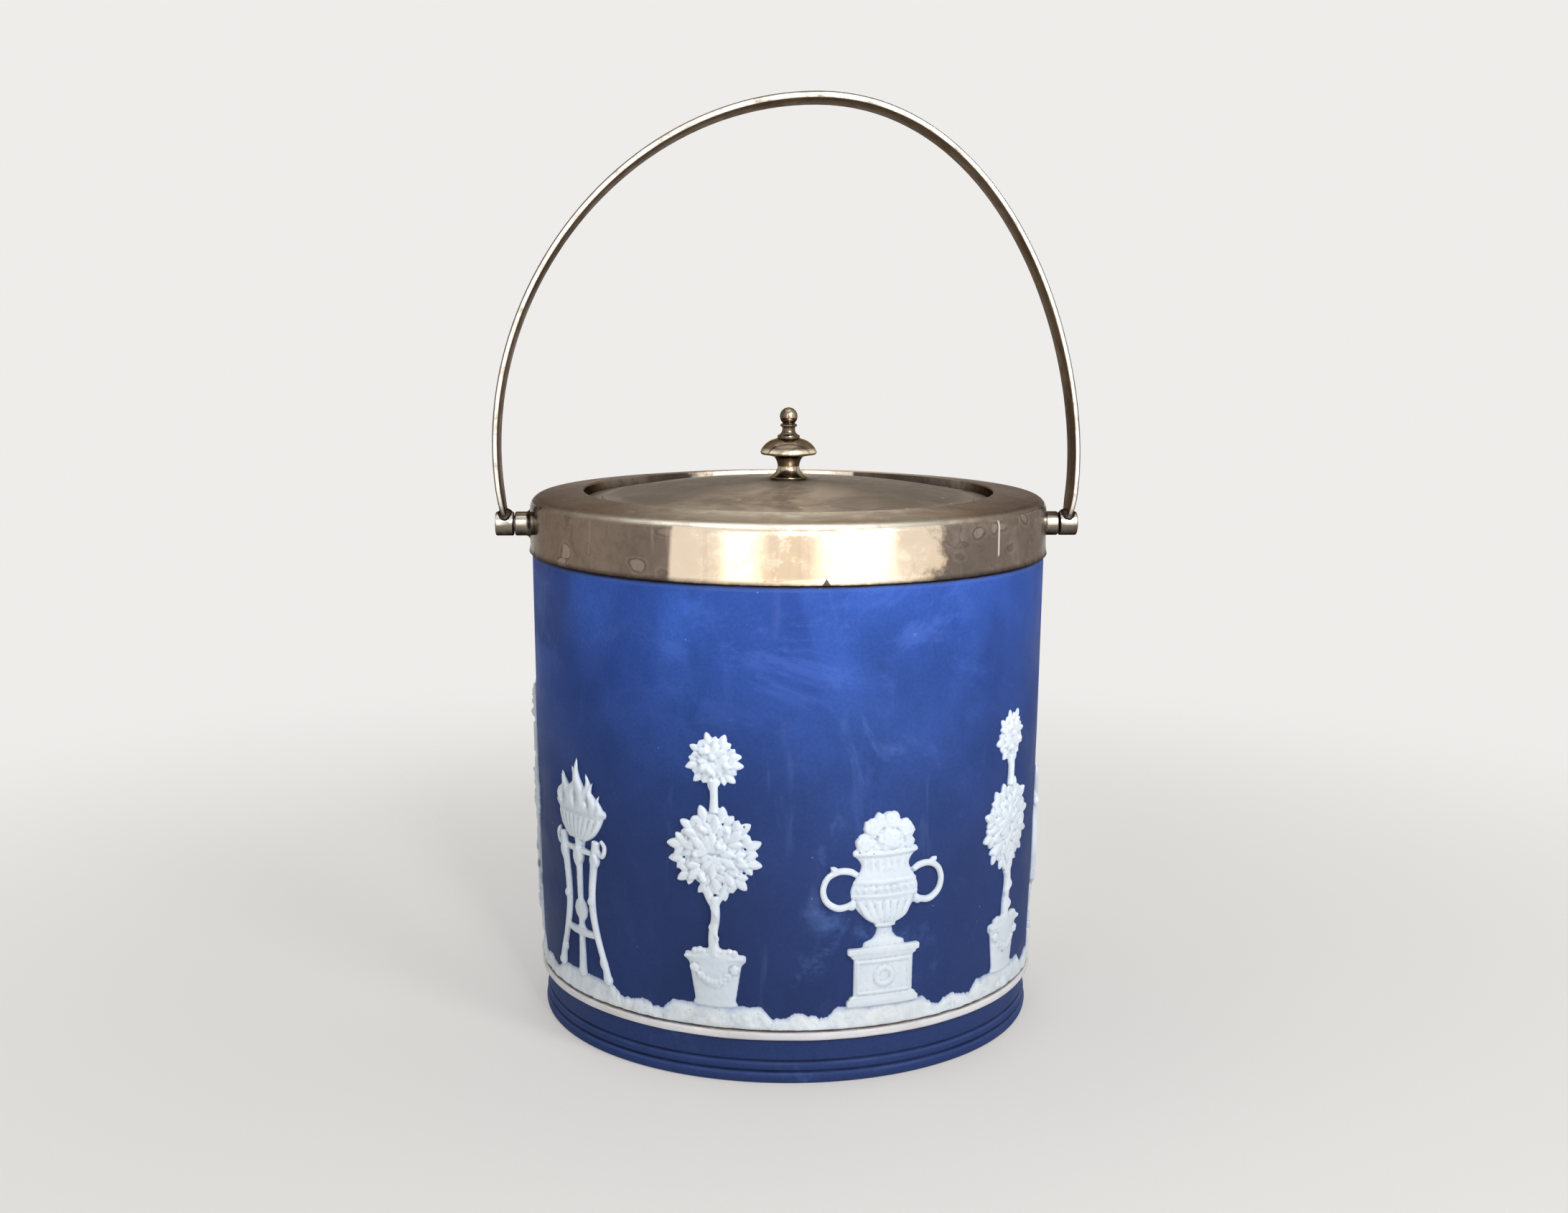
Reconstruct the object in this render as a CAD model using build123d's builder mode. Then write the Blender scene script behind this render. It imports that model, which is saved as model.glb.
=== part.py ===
"""Biscuit jar: a stoneware jar with white applied relief, a plated collar, a swing handle and a lift-off lid.

Units are millimetres.  The origin is the centre of the jar on the surface that it stands on.
+Z is up, +X runs along the handle's pivots, and -Y is the front.
"""

import os
from math import cos, radians, sin, sqrt

from build123d import *

# ---------------------------------------------------------------- jar body
rebate_height = 123.6  # shoulder on which the collar's skirt ends
jar_radius_top = 67.9  # at the shoulder
upper_height = 78.0
lower_height = 42.0
upper_taper = 0.5  # how far the wall stands in from its top, at each of these heights
lower_taper = 1.2
low_taper = 2.2  # where the moulded ring runs
foot_neck_inset = 0.7  # the wall just above the foot, inset from the wall at the ring
foot_bead_inset = 0.3
foot_hollow_inset = 0.6
foot_inset = 0.1
foot_bead_height = 5.4  # upper edge of the first turned moulding
foot_base_height = 2.9  # upper edge of the second
foot_slope = 0.3
foot_edge_radius = 0.9
foot_ring_width = 8.0
base_recess_depth = 2.2
jar_wall = 5.2
jar_floor = 6.5
inside_corner_radius = 7.0
neck_depth = 2.6  # how far the neck stands in from the shoulder
neck_wall = 4.0
neck_height = 10.0
rim_round = 1.2

# ---------------------------------------------------------------- applied relief
ring_height = 11.3  # underside of the moulded ring
ring_width = 2.3
ring_proud = 1.0
ring_gap = 0.35  # dark line between the ring and the ground above it
ground_width = 3.6
ground_proud = 1.0
mound_rise = 1.8  # the ground's ledge under each sprig
mound_half_width = 11.5
mound_slope = 3.0
hummock_radius = 7.0
hummock_rise = 1.1
relief_thickness = 1.4
sprig_count = 10
facing_depth = 6.0  # how far inside the wall the sprigs are drawn
facing_reach = 13.0

# The sprigs' outlines are given as half widths and heights above the ground's ledge.
tub_foot = (5.6, 0.0)
tub_shoulder = (7.2, 11.6)
tub_rim = (7.9, 13.4)
trunk_width = 2.6
crown_radius = 12.5
crown_centre = 38.6
crown_lobes = 12
top_crown_radius = 7.5
top_crown_centre = 61.6
top_crown_lobes = 9
crown_lobe_share = 0.29  # a leafy lobe's radius as a share of its crown's

plinth_width = 19.0
plinth_height = 15.0
plinth_moulding = 1.8
plinth_inset = 1.8
urn_foot = (5.5, 15.0)
urn_stem = (2.1, 20.0)
urn_belly = (7.6, 25.1)
urn_shoulder = (9.0, 30.2)
urn_neck = (6.9, 37.0)
urn_lip_width = 17.0
urn_lip_height = 2.2
urn_handle_radius = 4.6
urn_handle_width = 1.5
urn_handle_place = 11.3
bouquet_centre = 39.6
bouquet_radius = 7.0
bouquet_lobe_radius = 3.0
bouquet_lobes = 7

lyre_base_width = 17.0
lyre_base_height = 4.0
lyre_box_radius = 7.5
lyre_box_centre = 11.0
lyre_arm = ((4.5, 11.0), (11.5, 20.0), (7.5, 33.8), (7.8, 38.8), (10.5, 44.0))  # from its foot to its tip
lyre_arm_width = 2.2
lyre_bar_width = 20.0
lyre_bar_foot = 36.8
lyre_bar_height = 2.4
lyre_string_width = 0.9
lyre_string_pitch = 2.6
lyre_strings = 3

tripod_foot = (10.5, 0.0)
tripod_knee = (5.1, 20.4)
tripod_hip = (7.2, 38.0)
tripod_leg_width = 2.4
tripod_shelf_width = 14.3
tripod_shelf_height = 12.0
tripod_bar = 2.0
brazier_foot = 36.0
brazier_top = 43.0
brazier_width = 20.0
brazier_lip_width = 22.0
# each flame as its foot's middle, its tip and half its width
flames = ((-4.5, (-6.3, 51.7), 3.9), (0.0, (0.0, 57.0), 4.0), (4.5, (6.3, 52.8), 3.9))

column_base_width = 16.0
column_base_height = 3.2
column_width = 10.6
column_top = 25.0
column_cap_width = 14.0
column_cap_height = 2.2
basket_foot = (5.6, 27.2)
basket_rim = (9.2, 36.0)
fruit_centre = 37.0
fruit_ring_radius = 6.2
fruit_radius = 3.0
fruits = 6

# ---------------------------------------------------------------- collar (plated sheet)
sheet = 0.9
collar_proud = 0.5  # outside the jar's shoulder
collar_seat_gap = 0.25  # between the skirt's lower edge and the jar's shoulder
collar_flare = 0.3
collar_flare_height = 1.6
skirt_height = 14.4  # from the jar's shoulder to the flange's outer edge
shoulder_round = 3.4
flange_width = 14.3
flange_rise = 1.6
lip_round = 1.2
throat_depth = 3.5
ledge_width = 2.8
ledge_bevel = 0.7
ledge_drop = 2.6

# ---------------------------------------------------------------- lid
lid_gap = 0.4  # between the lid's edge and the throat
lid_seat_gap = 0.05
lid_edge_thickness = 1.1
lid_edge_bevel = 0.3
lid_border = 4.0
lid_step = 0.5
lid_rise = 4.8
lid_sheet = 0.9
lid_flat_radius = 5.6
skirt_gap = 0.4
skirt_depth = 6.0
skirt_bevel = 0.3

# ---------------------------------------------------------------- finial
# each turn of the profile as its radius and its height above the lid's top
finial_foot = (4.6, 0.4)
finial_base = (5.15, 0.7)
finial_base_neck = (4.3, 1.1)
finial_waist_low = (3.6, 1.8)
finial_waist = (2.9, 3.8)
finial_waist_high = (3.3, 5.15)
finial_cap_neck = (4.0, 6.2)
finial_cap_under = (7.2, 6.65)
finial_cap_rim = (7.5, 7.1)
finial_cap_shoulder = (6.1, 9.4)
finial_cap_top = (2.95, 10.95)
finial_collar_top = 11.7
finial_neck = (1.7, 13.1)
finial_bead = (2.25, 14.3)
finial_bead_width = 0.5
finial_ball_foot = 14.9
finial_ball_radius = 2.36
finial_ball_centre = 16.7
shank_radius = 1.5
shank_clearance = 0.15
thread_clearance = 0.05
shank_past_nut = 0.8
washer_radius = 4.0
washer_thickness = 0.6
nut_across_flats = 5.5
nut_height = 2.2

# ---------------------------------------------------------------- handle and its pivots
pivot_rise = 6.6  # above the jar's shoulder
boss_radius = 3.2
boss_length = 4.1
knuckle_gap = 0.35
knuckle_length = 4.8
knuckle_dome = 0.45
pin_radius = 1.3
pin_clearance = 0.05  # running fit in the knuckle's bore
pin_fit = 0.02  # fixed fit in the boss
pin_head_gap = 0.1
pin_head_radius = 2.1
pin_head_depth = 0.7
pin_end_gap = 1.2  # from the pin's blind end to the collar's skirt
strap_width = 11.0
strap_crown_thickness = 2.0
strap_root_thickness = 1.5
strap_root_height = 1.9  # the strap's end above the pivot axis, in the knuckle's slot
strap_tip_radius = 4.2
strap_edge_round = 0.4
handle_rise = 112.6  # the hoop's crown above the pivot axis
handle_splay = radians(12)  # outward slope of the legs at their roots
handle_lean = radians(4)  # the hoop stands a little back from upright
crown_shift = 8.0  # the hoop's crown lies off centre, as a bent handle's does
crown_inset = 22.25  # from the knuckles' middle to the crown's control points
leg_reach_left = 56.5
leg_reach_right = 38.0

os.makedirs("parts", exist_ok=True)


def save(piece, name):
    """Labels a finished piece and writes it as a STEP file."""
    piece.part.label = name
    export_step(piece.part, f"parts/{name}.step")


def circles_at(part, height):
    """The round edges of a part that lie level at one height."""
    return part.edges().filter_by(GeomType.CIRCLE).filter_by(lambda e: abs(e.center().Z - height) < 0.001)


# ================================================================ jar body
jar_radius_upper = jar_radius_top - upper_taper
jar_radius_lower = jar_radius_top - lower_taper
jar_radius_low = jar_radius_top - low_taper
foot_neck_radius = jar_radius_low - foot_neck_inset
foot_bead_radius = jar_radius_low - foot_bead_inset
foot_hollow_radius = jar_radius_low - foot_hollow_inset
foot_radius = jar_radius_low - foot_inset
wall_points = [
    (jar_radius_low, ring_height),
    (jar_radius_lower, lower_height),
    (jar_radius_upper, upper_height),
    (jar_radius_top, rebate_height),
]
neck_radius = jar_radius_top - neck_depth
jar_top = rebate_height + neck_height
floor_height = base_recess_depth + jar_floor
foot_inner_radius = foot_radius - foot_ring_width

with BuildPart() as jar_body:
    with BuildSketch(Plane.XZ):
        with BuildLine():
            Polyline(
                (0, base_recess_depth),
                (foot_inner_radius, base_recess_depth),
                (foot_inner_radius, 0),
                (foot_radius - foot_edge_radius, 0),
            )
            RadiusArc(
                (foot_radius - foot_edge_radius, 0),
                (foot_radius, foot_edge_radius),
                -foot_edge_radius,
            )
            Polyline(
                (foot_radius, foot_edge_radius),
                (foot_radius, foot_base_height - foot_slope),
                (foot_hollow_radius, foot_base_height + foot_slope),
                (foot_bead_radius, foot_bead_height - foot_slope),
                (foot_neck_radius, foot_bead_height + foot_slope),
                wall_points[0],
            )
            Polyline(*wall_points)
            Polyline(
                wall_points[-1],
                (neck_radius, rebate_height),
                (neck_radius, jar_top),
                (neck_radius - neck_wall, jar_top),
                (jar_radius_low - jar_wall, floor_height),
                (0, floor_height),
                (0, base_recess_depth),
            )
        make_face()
    revolve(axis=Axis.Z)
    fillet(circles_at(jar_body, floor_height), inside_corner_radius)
    fillet(circles_at(jar_body, jar_top), rim_round)
save(jar_body, "jar_body")


# ================================================================ applied relief
def wall_skin(thickness):
    """A thin coat over the jar's wall, from the moulded ring to the shoulder."""
    with BuildPart() as skin:
        with BuildSketch(Plane.XZ):
            with BuildLine():
                outer_points = [(radius + thickness, height) for radius, height in wall_points]
                Polyline(*wall_points)
                Polyline(*outer_points)
                Line(wall_points[0], outer_points[0])
                Line(wall_points[-1], outer_points[-1])
            make_face()
        revolve(axis=Axis.Z)
    return skin.part


def facing(angle):
    """A plane inside the wall that faces outwards at an angle round the jar, with its y axis up."""
    outward = (cos(radians(angle)), sin(radians(angle)), 0)
    depth = jar_radius_low - facing_depth
    origin = (depth * outward[0], depth * outward[1], 0)
    return Plane(origin=origin, x_dir=(-outward[1], outward[0], 0), z_dir=outward)


def laid_on(skin, outline):
    """The part of a coat on the wall that lies behind an outline drawn on a facing plane."""
    with BuildPart() as piece:
        extrude(to_extrude=outline, amount=facing_reach)
        add(skin, mode=Mode.INTERSECT)
    return piece


ring_top = ring_height + ring_width
ground_low = ring_top + ring_gap
ground_top = ground_low + ground_width
sprig_foot = ground_top + mound_rise
sprig_angles = [-90 + (index + 0.5) * 360 / sprig_count for index in range(sprig_count)]

with BuildPart() as ground_ring:
    with BuildSketch(Plane.XZ):
        with Locations((jar_radius_low + ring_proud - ring_width, ring_height + ring_width / 2)):
            SlotOverall(2 * ring_width, ring_width)
    revolve(axis=Axis.Z)
    add(jar_body.part, mode=Mode.SUBTRACT)
save(ground_ring, "ground_ring")


def ground_outline(angle):
    """The ledge under one sprig."""
    with BuildSketch(facing(angle)) as outline:
        with BuildLine():
            Polyline(
                (-mound_half_width - mound_slope, ground_low),
                (-mound_half_width, sprig_foot),
                (mound_half_width, sprig_foot),
                (mound_half_width + mound_slope, ground_low),
                close=True,
            )
        make_face()
    return outline.sketch


def hummock_outline(angle):
    """The hummock half way between two sprigs."""
    with BuildSketch(facing(angle)) as outline:
        with Locations((0, ground_top + hummock_rise - hummock_radius)):
            Circle(hummock_radius)
        with Locations((0, ground_low)):
            Rectangle(
                2 * hummock_radius,
                2 * hummock_radius,
                align=(Align.CENTER, Align.MAX),
                mode=Mode.SUBTRACT,
            )
    return outline.sketch


ground_skin = wall_skin(ground_proud)
with BuildPart() as ground_frieze:
    with Locations((0, 0, ground_low)):
        Cylinder(2 * jar_radius_top, ground_width, align=(Align.CENTER, Align.CENTER, Align.MIN))
    add(ground_skin, mode=Mode.INTERSECT)
    for angle in sprig_angles:
        add(laid_on(ground_skin, ground_outline(angle)).part)
        add(laid_on(ground_skin, hummock_outline(angle + 180 / sprig_count)).part)
save(ground_frieze, "ground_frieze")


def on_right(place, side=1):
    """A named place of a sprig's outline, raised on to the ground's ledge, on its right or left side."""
    return (side * place[0], sprig_foot + place[1])


def bar(width, foot, top):
    """A level bar of a sprig, centred, between two heights above the ledge."""
    with Locations((0, sprig_foot + foot)):
        Rectangle(width, top - foot, align=(Align.CENTER, Align.MIN))


def spread(*places):
    """A straight-sided shape that is the same on its left and right, from its foot up."""
    right = [on_right(place) for place in places]
    left = [on_right(place, -1) for place in reversed(places)]
    Polygon(*right, *left, align=None)


def tree_outline(angle):
    """A clipped tree in a tapered tub: a large leafy ball with a small one above it."""
    with BuildSketch(facing(angle)) as outline:
        spread(tub_foot, tub_shoulder, (tub_rim[0], tub_shoulder[1]), tub_rim)
        bar(trunk_width, tub_rim[1], top_crown_centre)
        for centre, radius, lobes in (
            (crown_centre, crown_radius, crown_lobes),
            (top_crown_centre, top_crown_radius, top_crown_lobes),
        ):
            lobe_radius = crown_lobe_share * radius
            with Locations((0, sprig_foot + centre)):
                Circle(radius - lobe_radius / 2)
                with PolarLocations(radius - lobe_radius, lobes):
                    Circle(lobe_radius)
    return outline.sketch


def urn_outline(angle):
    """A two-handled garden urn of flowers on a square plinth."""
    lip_foot = urn_neck[1]
    with BuildSketch(facing(angle)) as outline:
        for side in (-1, 1):
            with Locations(on_right((urn_handle_place, urn_shoulder[1]), side)):
                Circle(urn_handle_radius)
                Circle(urn_handle_radius - urn_handle_width, mode=Mode.SUBTRACT)
        bar(plinth_width - 2 * plinth_inset, 0, plinth_height)
        bar(plinth_width, 0, plinth_moulding)
        bar(plinth_width, plinth_height - plinth_moulding, plinth_height)
        with BuildLine():
            Polyline(
                on_right((0, lip_foot)),
                on_right((0, urn_foot[1])),
                on_right(urn_foot),
                on_right(urn_stem),
            )
            ThreePointArc(on_right(urn_stem), on_right(urn_belly), on_right(urn_shoulder))
            Polyline(on_right(urn_shoulder), on_right(urn_neck), on_right((0, lip_foot)))
        make_face()
        mirror(about=Plane.YZ)
        bar(urn_lip_width, lip_foot, lip_foot + urn_lip_height)
        with Locations((0, sprig_foot + bouquet_centre)):
            with PolarLocations(bouquet_radius, bouquet_lobes, 0, 180, endpoint=True):
                Circle(bouquet_lobe_radius)
            Circle(bouquet_radius)
    return outline.sketch


def lyre_outline(angle):
    """A lyre with three strings on a low base."""
    with BuildSketch(facing(angle)) as outline:
        for side in (-1, 1):
            with BuildLine():
                foot, bow, neck, bend, tip = (on_right(place, side) for place in lyre_arm)
                ThreePointArc(foot, bow, neck)
                ThreePointArc(neck, bend, tip)
            trace(line_width=lyre_arm_width)
        bar(lyre_base_width, 0, lyre_base_height)
        with Locations((0, sprig_foot + lyre_box_centre)):
            Circle(lyre_box_radius)
        bar(lyre_bar_width, lyre_bar_foot, lyre_bar_foot + lyre_bar_height)
        with Locations((0, sprig_foot + (lyre_box_centre + lyre_bar_foot) / 2)):
            with GridLocations(lyre_string_pitch, 1, lyre_strings, 1):
                Rectangle(lyre_string_width, lyre_bar_foot - lyre_box_centre)
    return outline.sketch


def tripod_outline(angle):
    """A burning bowl on three legs."""
    with BuildSketch(facing(angle)) as outline:
        for side in (-1, 1):
            with BuildLine():
                ThreePointArc(*[on_right(place, side) for place in (tripod_foot, tripod_knee, tripod_hip)])
            trace(line_width=tripod_leg_width)
        with Locations((0, sprig_foot)):
            Rectangle(4 * tripod_foot[0], brazier_foot, align=(Align.CENTER, Align.MAX), mode=Mode.SUBTRACT)
        bar(tripod_leg_width, 0, tripod_hip[1])
        bar(tripod_shelf_width, tripod_shelf_height - tripod_bar, tripod_shelf_height)
        with BuildLine():
            rim_right = on_right((brazier_width / 2, brazier_top))
            rim_left = on_right((brazier_width / 2, brazier_top), -1)
            ThreePointArc(rim_left, on_right((0, brazier_foot)), rim_right)
            Line(rim_left, rim_right)
        make_face()
        bar(brazier_lip_width, brazier_top - tripod_bar / 2, brazier_top + tripod_bar / 2)
        for foot, tip, half_width in flames:
            waist = (brazier_top + tip[1]) / 2
            with BuildLine():
                flame_left = on_right((foot - half_width, brazier_top))
                flame_right = on_right((foot + half_width, brazier_top))
                ThreePointArc(flame_left, on_right((foot - half_width, waist)), on_right(tip))
                ThreePointArc(on_right(tip), on_right((foot + half_width, waist)), flame_right)
                Line(flame_right, flame_left)
            make_face()
    return outline.sketch


def basket_outline(angle):
    """A basket of fruit on a short column."""
    with BuildSketch(facing(angle)) as outline:
        bar(column_base_width, 0, column_base_height)
        bar(column_width, column_base_height, column_top)
        bar(column_cap_width, column_top, column_top + column_cap_height)
        spread(basket_foot, basket_rim)
        with Locations((0, sprig_foot + fruit_centre)):
            Circle(fruit_ring_radius)
            with PolarLocations(fruit_ring_radius, fruits, 0, 180, endpoint=True):
                Circle(fruit_radius)
    return outline.sketch


sprig_plan = (
    ("urn_1", urn_outline),
    ("tree_1", tree_outline),
    ("lyre", lyre_outline),
    ("tree_2", tree_outline),
    ("urn_2", urn_outline),
    ("tree_3", tree_outline),
    ("basket", basket_outline),
    ("tree_4", tree_outline),
    ("tripod", tripod_outline),
    ("tree_5", tree_outline),
)
relief_skin = wall_skin(relief_thickness)
for angle, (motif, outline_of) in zip(sprig_angles, sprig_plan):
    save(laid_on(relief_skin, outline_of(angle)), f"relief_{motif}")


# ================================================================ collar
skirt_foot = rebate_height + collar_seat_gap
flare_top = skirt_foot + collar_flare_height
collar_radius = jar_radius_top + collar_proud
shoulder_height = rebate_height + skirt_height
lip_radius = collar_radius - flange_width
lip_height = shoulder_height + flange_rise
ledge_height = lip_height - throat_depth
ledge_radius = lip_radius - ledge_width

with BuildPart() as collar:
    with BuildSketch(Plane.XZ):
        with BuildLine():
            Line((collar_radius + collar_flare, skirt_foot), (collar_radius, flare_top))
            FilletPolyline(
                (collar_radius, flare_top),
                (collar_radius, shoulder_height),
                (lip_radius, lip_height),
                (lip_radius, ledge_height),
                radius=[shoulder_round, lip_round],
            )
            Polyline(
                (lip_radius, ledge_height),
                (ledge_radius + ledge_bevel, ledge_height),
                (ledge_radius, ledge_height - ledge_bevel),
                (ledge_radius, ledge_height - ledge_drop),
            )
            offset(amount=sheet, side=Side.LEFT, closed=True)
        make_face()
    revolve(axis=Axis.Z)
save(collar, "collar")

bed_inner_radius = neck_radius - neck_wall
bed_outer_radius = collar_radius - sheet / 2
bed_top = shoulder_height - sheet

with BuildPart() as plaster_bed:
    with BuildSketch(Plane.XZ):
        with BuildLine():
            Polyline(
                (bed_inner_radius, jar_top - rim_round),
                (neck_radius - neck_wall / 2, jar_top - rim_round),
                (neck_radius - neck_wall / 2, skirt_foot),
                (bed_outer_radius, skirt_foot),
                (bed_outer_radius, bed_top - shoulder_round),
                (bed_outer_radius - shoulder_round, bed_top),
                (bed_inner_radius, bed_top),
                close=True,
            )
        make_face()
    revolve(axis=Axis.Z)
    add(collar.part, mode=Mode.SUBTRACT)
    add(jar_body.part, mode=Mode.SUBTRACT)
save(plaster_bed, "plaster_bed")


# ================================================================ lid
lid_radius = lip_radius - lid_gap
lid_seat = ledge_height + lid_seat_gap
lid_edge_top = lid_seat + lid_edge_thickness
lid_top = lid_edge_top + lid_rise
border_radius = lid_radius - lid_border
dome_foot = lid_edge_top + lid_step
dome_radius = border_radius - lid_step


def dome_height(radius, drop):
    """Height of the lid's dome at a radius, on the outer face or a drop below it."""
    share = (radius - lid_flat_radius) / (dome_radius - lid_flat_radius)
    return lid_top - drop - (lid_top - dome_foot) * share**2


with BuildPart() as lid_plate:
    with BuildSketch(Plane.XZ):
        with BuildLine():
            middle = (lid_flat_radius + dome_radius) / 2
            hole_radius = shank_radius + shank_clearance
            Polyline((hole_radius, lid_top - lid_sheet), (hole_radius, lid_top), (lid_flat_radius, lid_top))
            ThreePointArc(
                (lid_flat_radius, lid_top), (middle, dome_height(middle, 0)), (dome_radius, dome_foot)
            )
            Polyline(
                (dome_radius, dome_foot),
                (border_radius, lid_edge_top),
                (lid_radius, lid_edge_top),
                (lid_radius, lid_seat),
                (border_radius - lid_sheet, lid_seat),
                (dome_radius - lid_sheet, dome_foot - lid_sheet),
            )
            ThreePointArc(
                (dome_radius - lid_sheet, dome_foot - lid_sheet),
                (middle, dome_height(middle, lid_sheet)),
                (lid_flat_radius, lid_top - lid_sheet),
            )
            Line((lid_flat_radius, lid_top - lid_sheet), (hole_radius, lid_top - lid_sheet))
        make_face()
    revolve(axis=Axis.Z)
    round_edges = lid_plate.edges().filter_by(GeomType.CIRCLE)
    edge_rings = round_edges.filter_by(lambda e: e.radius > lid_radius - 0.001)
    chamfer(edge_rings, lid_edge_bevel)
save(lid_plate, "lid_plate")

skirt_radius = ledge_radius - skirt_gap
with BuildPart() as lid_skirt:
    with BuildSketch(Plane.XY.offset(lid_seat)):
        Circle(skirt_radius)
        Circle(skirt_radius - sheet, mode=Mode.SUBTRACT)
    extrude(amount=-skirt_depth)
    chamfer(circles_at(lid_skirt, lid_seat - skirt_depth), skirt_bevel)
save(lid_skirt, "lid_skirt")


# ================================================================ finial
lid_underside = lid_top - lid_sheet
washer_foot = lid_underside - washer_thickness
nut_foot = washer_foot - nut_height
shank_end = nut_foot - shank_past_nut


def turn(place):
    """A turn of the finial's profile, raised on to the lid's top."""
    return (place[0], lid_top + place[1])


with BuildPart() as finial:
    with BuildSketch(Plane.XZ):
        with BuildLine():
            bead_radius, bead_height = finial_bead
            cap_top_radius = finial_cap_top[0]
            ball_foot_radius = sqrt(finial_ball_radius**2 - (finial_ball_centre - finial_ball_foot) ** 2)
            ball_top = (0, finial_ball_centre + finial_ball_radius)
            Polyline(
                turn(ball_top),
                (0, shank_end),
                (shank_radius, shank_end),
                (shank_radius, lid_top),
                (finial_foot[0], lid_top),
                turn(finial_foot),
                turn((finial_base[0], finial_foot[1])),
                turn(finial_base),
                turn(finial_base_neck),
            )
            Spline(
                turn(finial_base_neck),
                turn(finial_waist_low),
                turn(finial_waist),
                turn(finial_waist_high),
                turn(finial_cap_neck),
            )
            Polyline(turn(finial_cap_neck), turn(finial_cap_under), turn(finial_cap_rim))
            ThreePointArc(turn(finial_cap_rim), turn(finial_cap_shoulder), turn(finial_cap_top))
            Polyline(
                turn(finial_cap_top),
                turn((cap_top_radius, finial_collar_top)),
                turn(finial_neck),
                turn((bead_radius, bead_height - finial_bead_width / 2)),
                turn((bead_radius, bead_height + finial_bead_width / 2)),
                turn((ball_foot_radius, finial_ball_foot)),
            )
            ThreePointArc(
                turn((ball_foot_radius, finial_ball_foot)),
                turn((finial_ball_radius, finial_ball_centre)),
                turn(ball_top),
            )
        make_face()
    revolve(axis=Axis.Z)
save(finial, "finial")

with BuildPart() as finial_washer:
    with BuildSketch(Plane.XY.offset(washer_foot)):
        Circle(washer_radius)
        Circle(hole_radius, mode=Mode.SUBTRACT)
    extrude(amount=washer_thickness)
save(finial_washer, "finial_washer")

with BuildPart() as finial_nut:
    with BuildSketch(Plane.XY.offset(nut_foot)):
        RegularPolygon(nut_across_flats / 2, 6, major_radius=False)
        Circle(shank_radius + thread_clearance, mode=Mode.SUBTRACT)
    extrude(amount=nut_height)
save(finial_nut, "finial_nut")


# ================================================================ handle
# One plane holds the hoop's bow and the other its side view; both lean back about the pivots.
pivot_height = rebate_height + pivot_rise
boss_end = collar_radius + boss_length
knuckle_start = boss_end + knuckle_gap
knuckle_middle = knuckle_start + knuckle_length / 2
crown_reach = knuckle_middle - crown_inset
across = (0, cos(handle_lean), -sin(handle_lean))
forwards = (0, -cos(handle_lean), sin(handle_lean))
bow_plane = Plane(origin=(0, 0, pivot_height), x_dir=(1, 0, 0), z_dir=forwards)
side_plane = Plane(origin=(0, 0, pivot_height), x_dir=across, z_dir=(1, 0, 0))


def leg(side, leg_reach, root_inset, crown_inset):
    """Control points of one leg's curve from its root to the crown, inset from the strap's outer face."""
    root = (side * (knuckle_middle + strap_root_thickness / 2 - root_inset), strap_root_height)
    reach = leg_reach - (root_inset + crown_inset) / 2
    rise = (root[0] + side * reach * sin(handle_splay), root[1] + reach * cos(handle_splay))
    crown_height = handle_rise - crown_inset
    return (root, rise, (crown_shift + side * crown_reach, crown_height), (crown_shift, crown_height))


with BuildPart() as handle_strap:
    with BuildSketch(bow_plane):
        with BuildLine():
            for side, leg_reach in ((-1, leg_reach_left), (1, leg_reach_right)):
                outer = leg(side, leg_reach, 0, 0)
                inner = leg(side, leg_reach, strap_root_thickness, strap_crown_thickness)
                Bezier(*outer)
                Bezier(*inner)
                Line(outer[0], inner[0])
        make_face()
    extrude(amount=strap_width, both=True)
    with BuildSketch(side_plane) as side_view:
        with Locations((0, strap_root_height)):
            Rectangle(strap_width, handle_rise, align=(Align.CENTER, Align.MIN))
        fillet(side_view.vertices().sort_by(Axis.Z)[:2], strap_tip_radius)
    extrude(amount=2 * knuckle_middle, both=True, mode=Mode.INTERSECT)
save(handle_strap, "handle_strap")


def rod(side, radius, start, end):
    """A round rod along the pivots' axis, from one distance to another on one side of the jar."""
    with BuildPart(Plane(origin=(side * start, 0, pivot_height), z_dir=(side, 0, 0))) as piece:
        Cylinder(radius, end - start, align=(Align.CENTER, Align.CENTER, Align.MIN))
    return piece.part


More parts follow.
